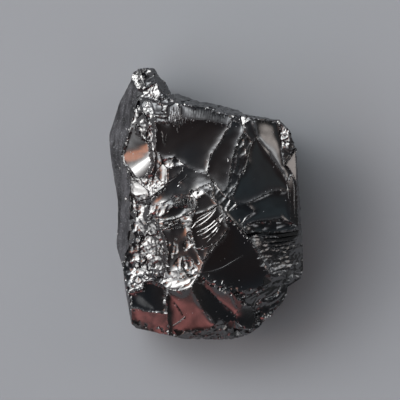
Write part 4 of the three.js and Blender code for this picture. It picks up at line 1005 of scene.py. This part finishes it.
def mark_hackly(shape):
    """Stores on each point how broken the surface is around it, from 0 to 1."""
    layer = shape.verts.layers.float.new("hackly")
    broken = {}
    for v in shape.verts:
        angles = [e.calc_face_angle(0) for e in v.link_edges]
        broken[v] = min(1, max(angles, default=0) / BROKEN_ANGLE)
    for _ in range(BROKEN_SPREAD):
        beside = {v: [broken[e.other_vert(v)] for e in v.link_edges] for v in broken}
        broken = {v: (share + sum(beside[v]) / len(beside[v])) / 2 for v, share in broken.items()}
    for v, share in broken.items():
        v[layer] = share


# ---- build ----


def merged_copy(node):
    """The plain solid with its loose triangles joined, in millimetres."""
    shape = bmesh.new()
    shape.from_mesh(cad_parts[node].data)
    bmesh.ops.scale(shape, vec=(1 / MM,) * 3, verts=shape.verts)
    bmesh.ops.remove_doubles(shape, verts=shape.verts, dist=WELD)
    return shape


GLASS, DULL = 0, 1
glass, dull = glassy_finish(), dull_finish()
named = numbered_corners()
sheets = [Sheet(rim_corners(rim, named), hollow) for hollow, _, rim, *_ in FACETS.values()]

shape = merged_copy(NODE)
stone = solid_from(shape, "shungite")
stone.data.materials.append(dull)
scene.collection.children.link(workshop)
combine(stone, "DIFFERENCE", [
    cutter_over(sheet, step, grains)
    for sheet, (_, step, _, *grains) in zip(sheets, FACETS.values())
])
combine(stone, "UNION", [rib(sheets, path, half) for half, path in RIBS])
combine(stone, "DIFFERENCE", [
    chip
    for seed, ridge in enumerate(CHIPPED_RIDGES, FIRST_SEED)
    for chip in ridge_chips(sheets, *ridge, seed)
])

shape = bmesh.new()
shape.from_mesh(stone.data)
lattice(shape, lambda face: is_wall(face) and face.calc_area() > WALL_PATCH, WALL_STEP)
weather(shape)
bmesh.ops.recalc_face_normals(shape, faces=shape.faces)
mark_hackly(shape)
for face in shape.faces:
    face.smooth = True
    face.material_index = DULL if is_joint(face) else GLASS
for edge in shape.edges:
    edge.smooth = len(edge.link_faces) == 2 and edge.calc_face_angle(0) < SHARP_ANGLE
bmesh.ops.scale(shape, vec=(MM,) * 3, verts=shape.verts)
stone.data.materials.clear()
for finish in (glass, dull):
    stone.data.materials.append(finish)
shape.to_mesh(stone.data)
shape.free()
workshop.objects.unlink(stone)
scene.collection.objects.link(stone)
bpy.data.collections.remove(workshop)

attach(stone, "root")
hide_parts(NODE)

# ---- studio ----

FLOOR_SIZE, FLOOR_DROP = 1.5, 0.0002


def stage_floor():
    shape = bmesh.new()
    bmesh.ops.create_grid(shape, x_segments=2, y_segments=2, size=FLOOR_SIZE)
    mesh = bpy.data.meshes.new("floor")
    shape.to_mesh(mesh)
    shape.free()
    mesh.materials.append(floor_finish())
    made = linked("floor", mesh, scene.collection)
    made.location.z = -FLOOR_DROP
    return made


def soft_light(name, azimuth, elevation, distance, width, height, radiance, colour):
    """A soft panel facing the stone. Azimuth is counted from +X towards +Y."""
    panel = bpy.data.lights.new(name, "AREA")
    panel.shape, panel.size, panel.size_y = "RECTANGLE", width, height
    panel.energy = radiance * math.pi * width * height
    panel.color = colour
    made = linked(name, panel, scene.collection)
    away = towards(azimuth, elevation)
    made.location = away * distance
    made.rotation_mode = "QUATERNION"
    made.rotation_quaternion = away.to_track_quat("Z", "Y")


# The room's own grey, by how far up one looks: from 0 at the horizon to 1 overhead.
ROOM_SHADES = [(0, 0.13), (0.35, 0.06), (0.62, 0.04), (0.85, 0.03)]

# Soft glows round the room: azimuth from +X towards +Y, elevation, brightness, width (degrees)
# and colour.
GLOWS = [
    (150, 28, 8, 14, (1, 0.99, 0.98)),
    (180, 30, 6, 13, (1, 0.99, 0.98)),
    (214, 34, 3.4, 13, (0.96, 0.98, 1)),
    (160, 34, 0.18, 38, (0.88, 0.94, 1)),
    (120, 41, 4.5, 14, (0.94, 0.97, 1)),
    (96, 36, 0.6, 22, (0.92, 0.96, 1)),
    (31, 10, 2.4, 8, (0.95, 0.97, 1)),
    (27, 28, 2.1, 12, (1, 0.91, 0.86)),
    (15, 62, 0.12, 18, (0.65, 0.9, 1)),
    (181, 49, 2.7, 5.5, (1, 0.30, 0.09)),
    (-38, 40, 2, 8, (0.95, 0.97, 1)),
    (-104, 16, 1.6, 12, (1, 0.34, 0.32)),
]


def towards(azimuth, elevation):
    a, e = math.radians(azimuth), math.radians(elevation)
    return Vector((math.cos(a) * math.cos(e), math.sin(a) * math.cos(e), math.sin(e)))


def soft_room():
    """Dim surroundings, pale near the horizon and dark overhead, with the soft glows on them."""
    world = bpy.data.worlds.new("room")
    scene.world = world
    world.use_nodes = True
    room = Nodes(world.node_tree)
    direction = room.node("ShaderNodeTexCoord", output="Generated")
    up = room.node("ShaderNodeSeparateXYZ", None, {0: direction}, "Z")
    light = room.ramp(up, *ROOM_SHADES)
    for azimuth, elevation, brightness, width, colour in GLOWS:
        facing = room.vector("DOT_PRODUCT", direction, towards(azimuth, elevation), "Value")
        fall = 1 / (1 - math.cos(math.radians(width)))
        glow = brightness * facing.math("EXPONENT", fall * (facing - 1))
        light = room.vector("ADD", light, room.vector("SCALE", colour, glow))
    room.feed(room.tree.nodes["Background"].inputs["Color"], light)


stage_floor()
soft_room()
soft_light(
    "window", azimuth=152, elevation=30, distance=0.7, width=0.5, height=0.16, radiance=4,
    colour=(1, 0.99, 0.98),
)

camera_data = bpy.data.cameras.new("camera")
camera = linked("camera", camera_data, scene.collection)
bpy.context.scene.camera = camera
VIEW_WIDTH = 0.08  # what the camera sees at the height of the stone's face
VIEW_HEIGHT = 0.015
VIEW_CENTRE = -0.0011, 0.0008
CAMERA_HEIGHT = 0.7
camera.location = (*VIEW_CENTRE, CAMERA_HEIGHT)
camera_data.lens = camera_data.sensor_width * (CAMERA_HEIGHT - VIEW_HEIGHT) / VIEW_WIDTH
scene.view_settings.view_transform = "Standard"
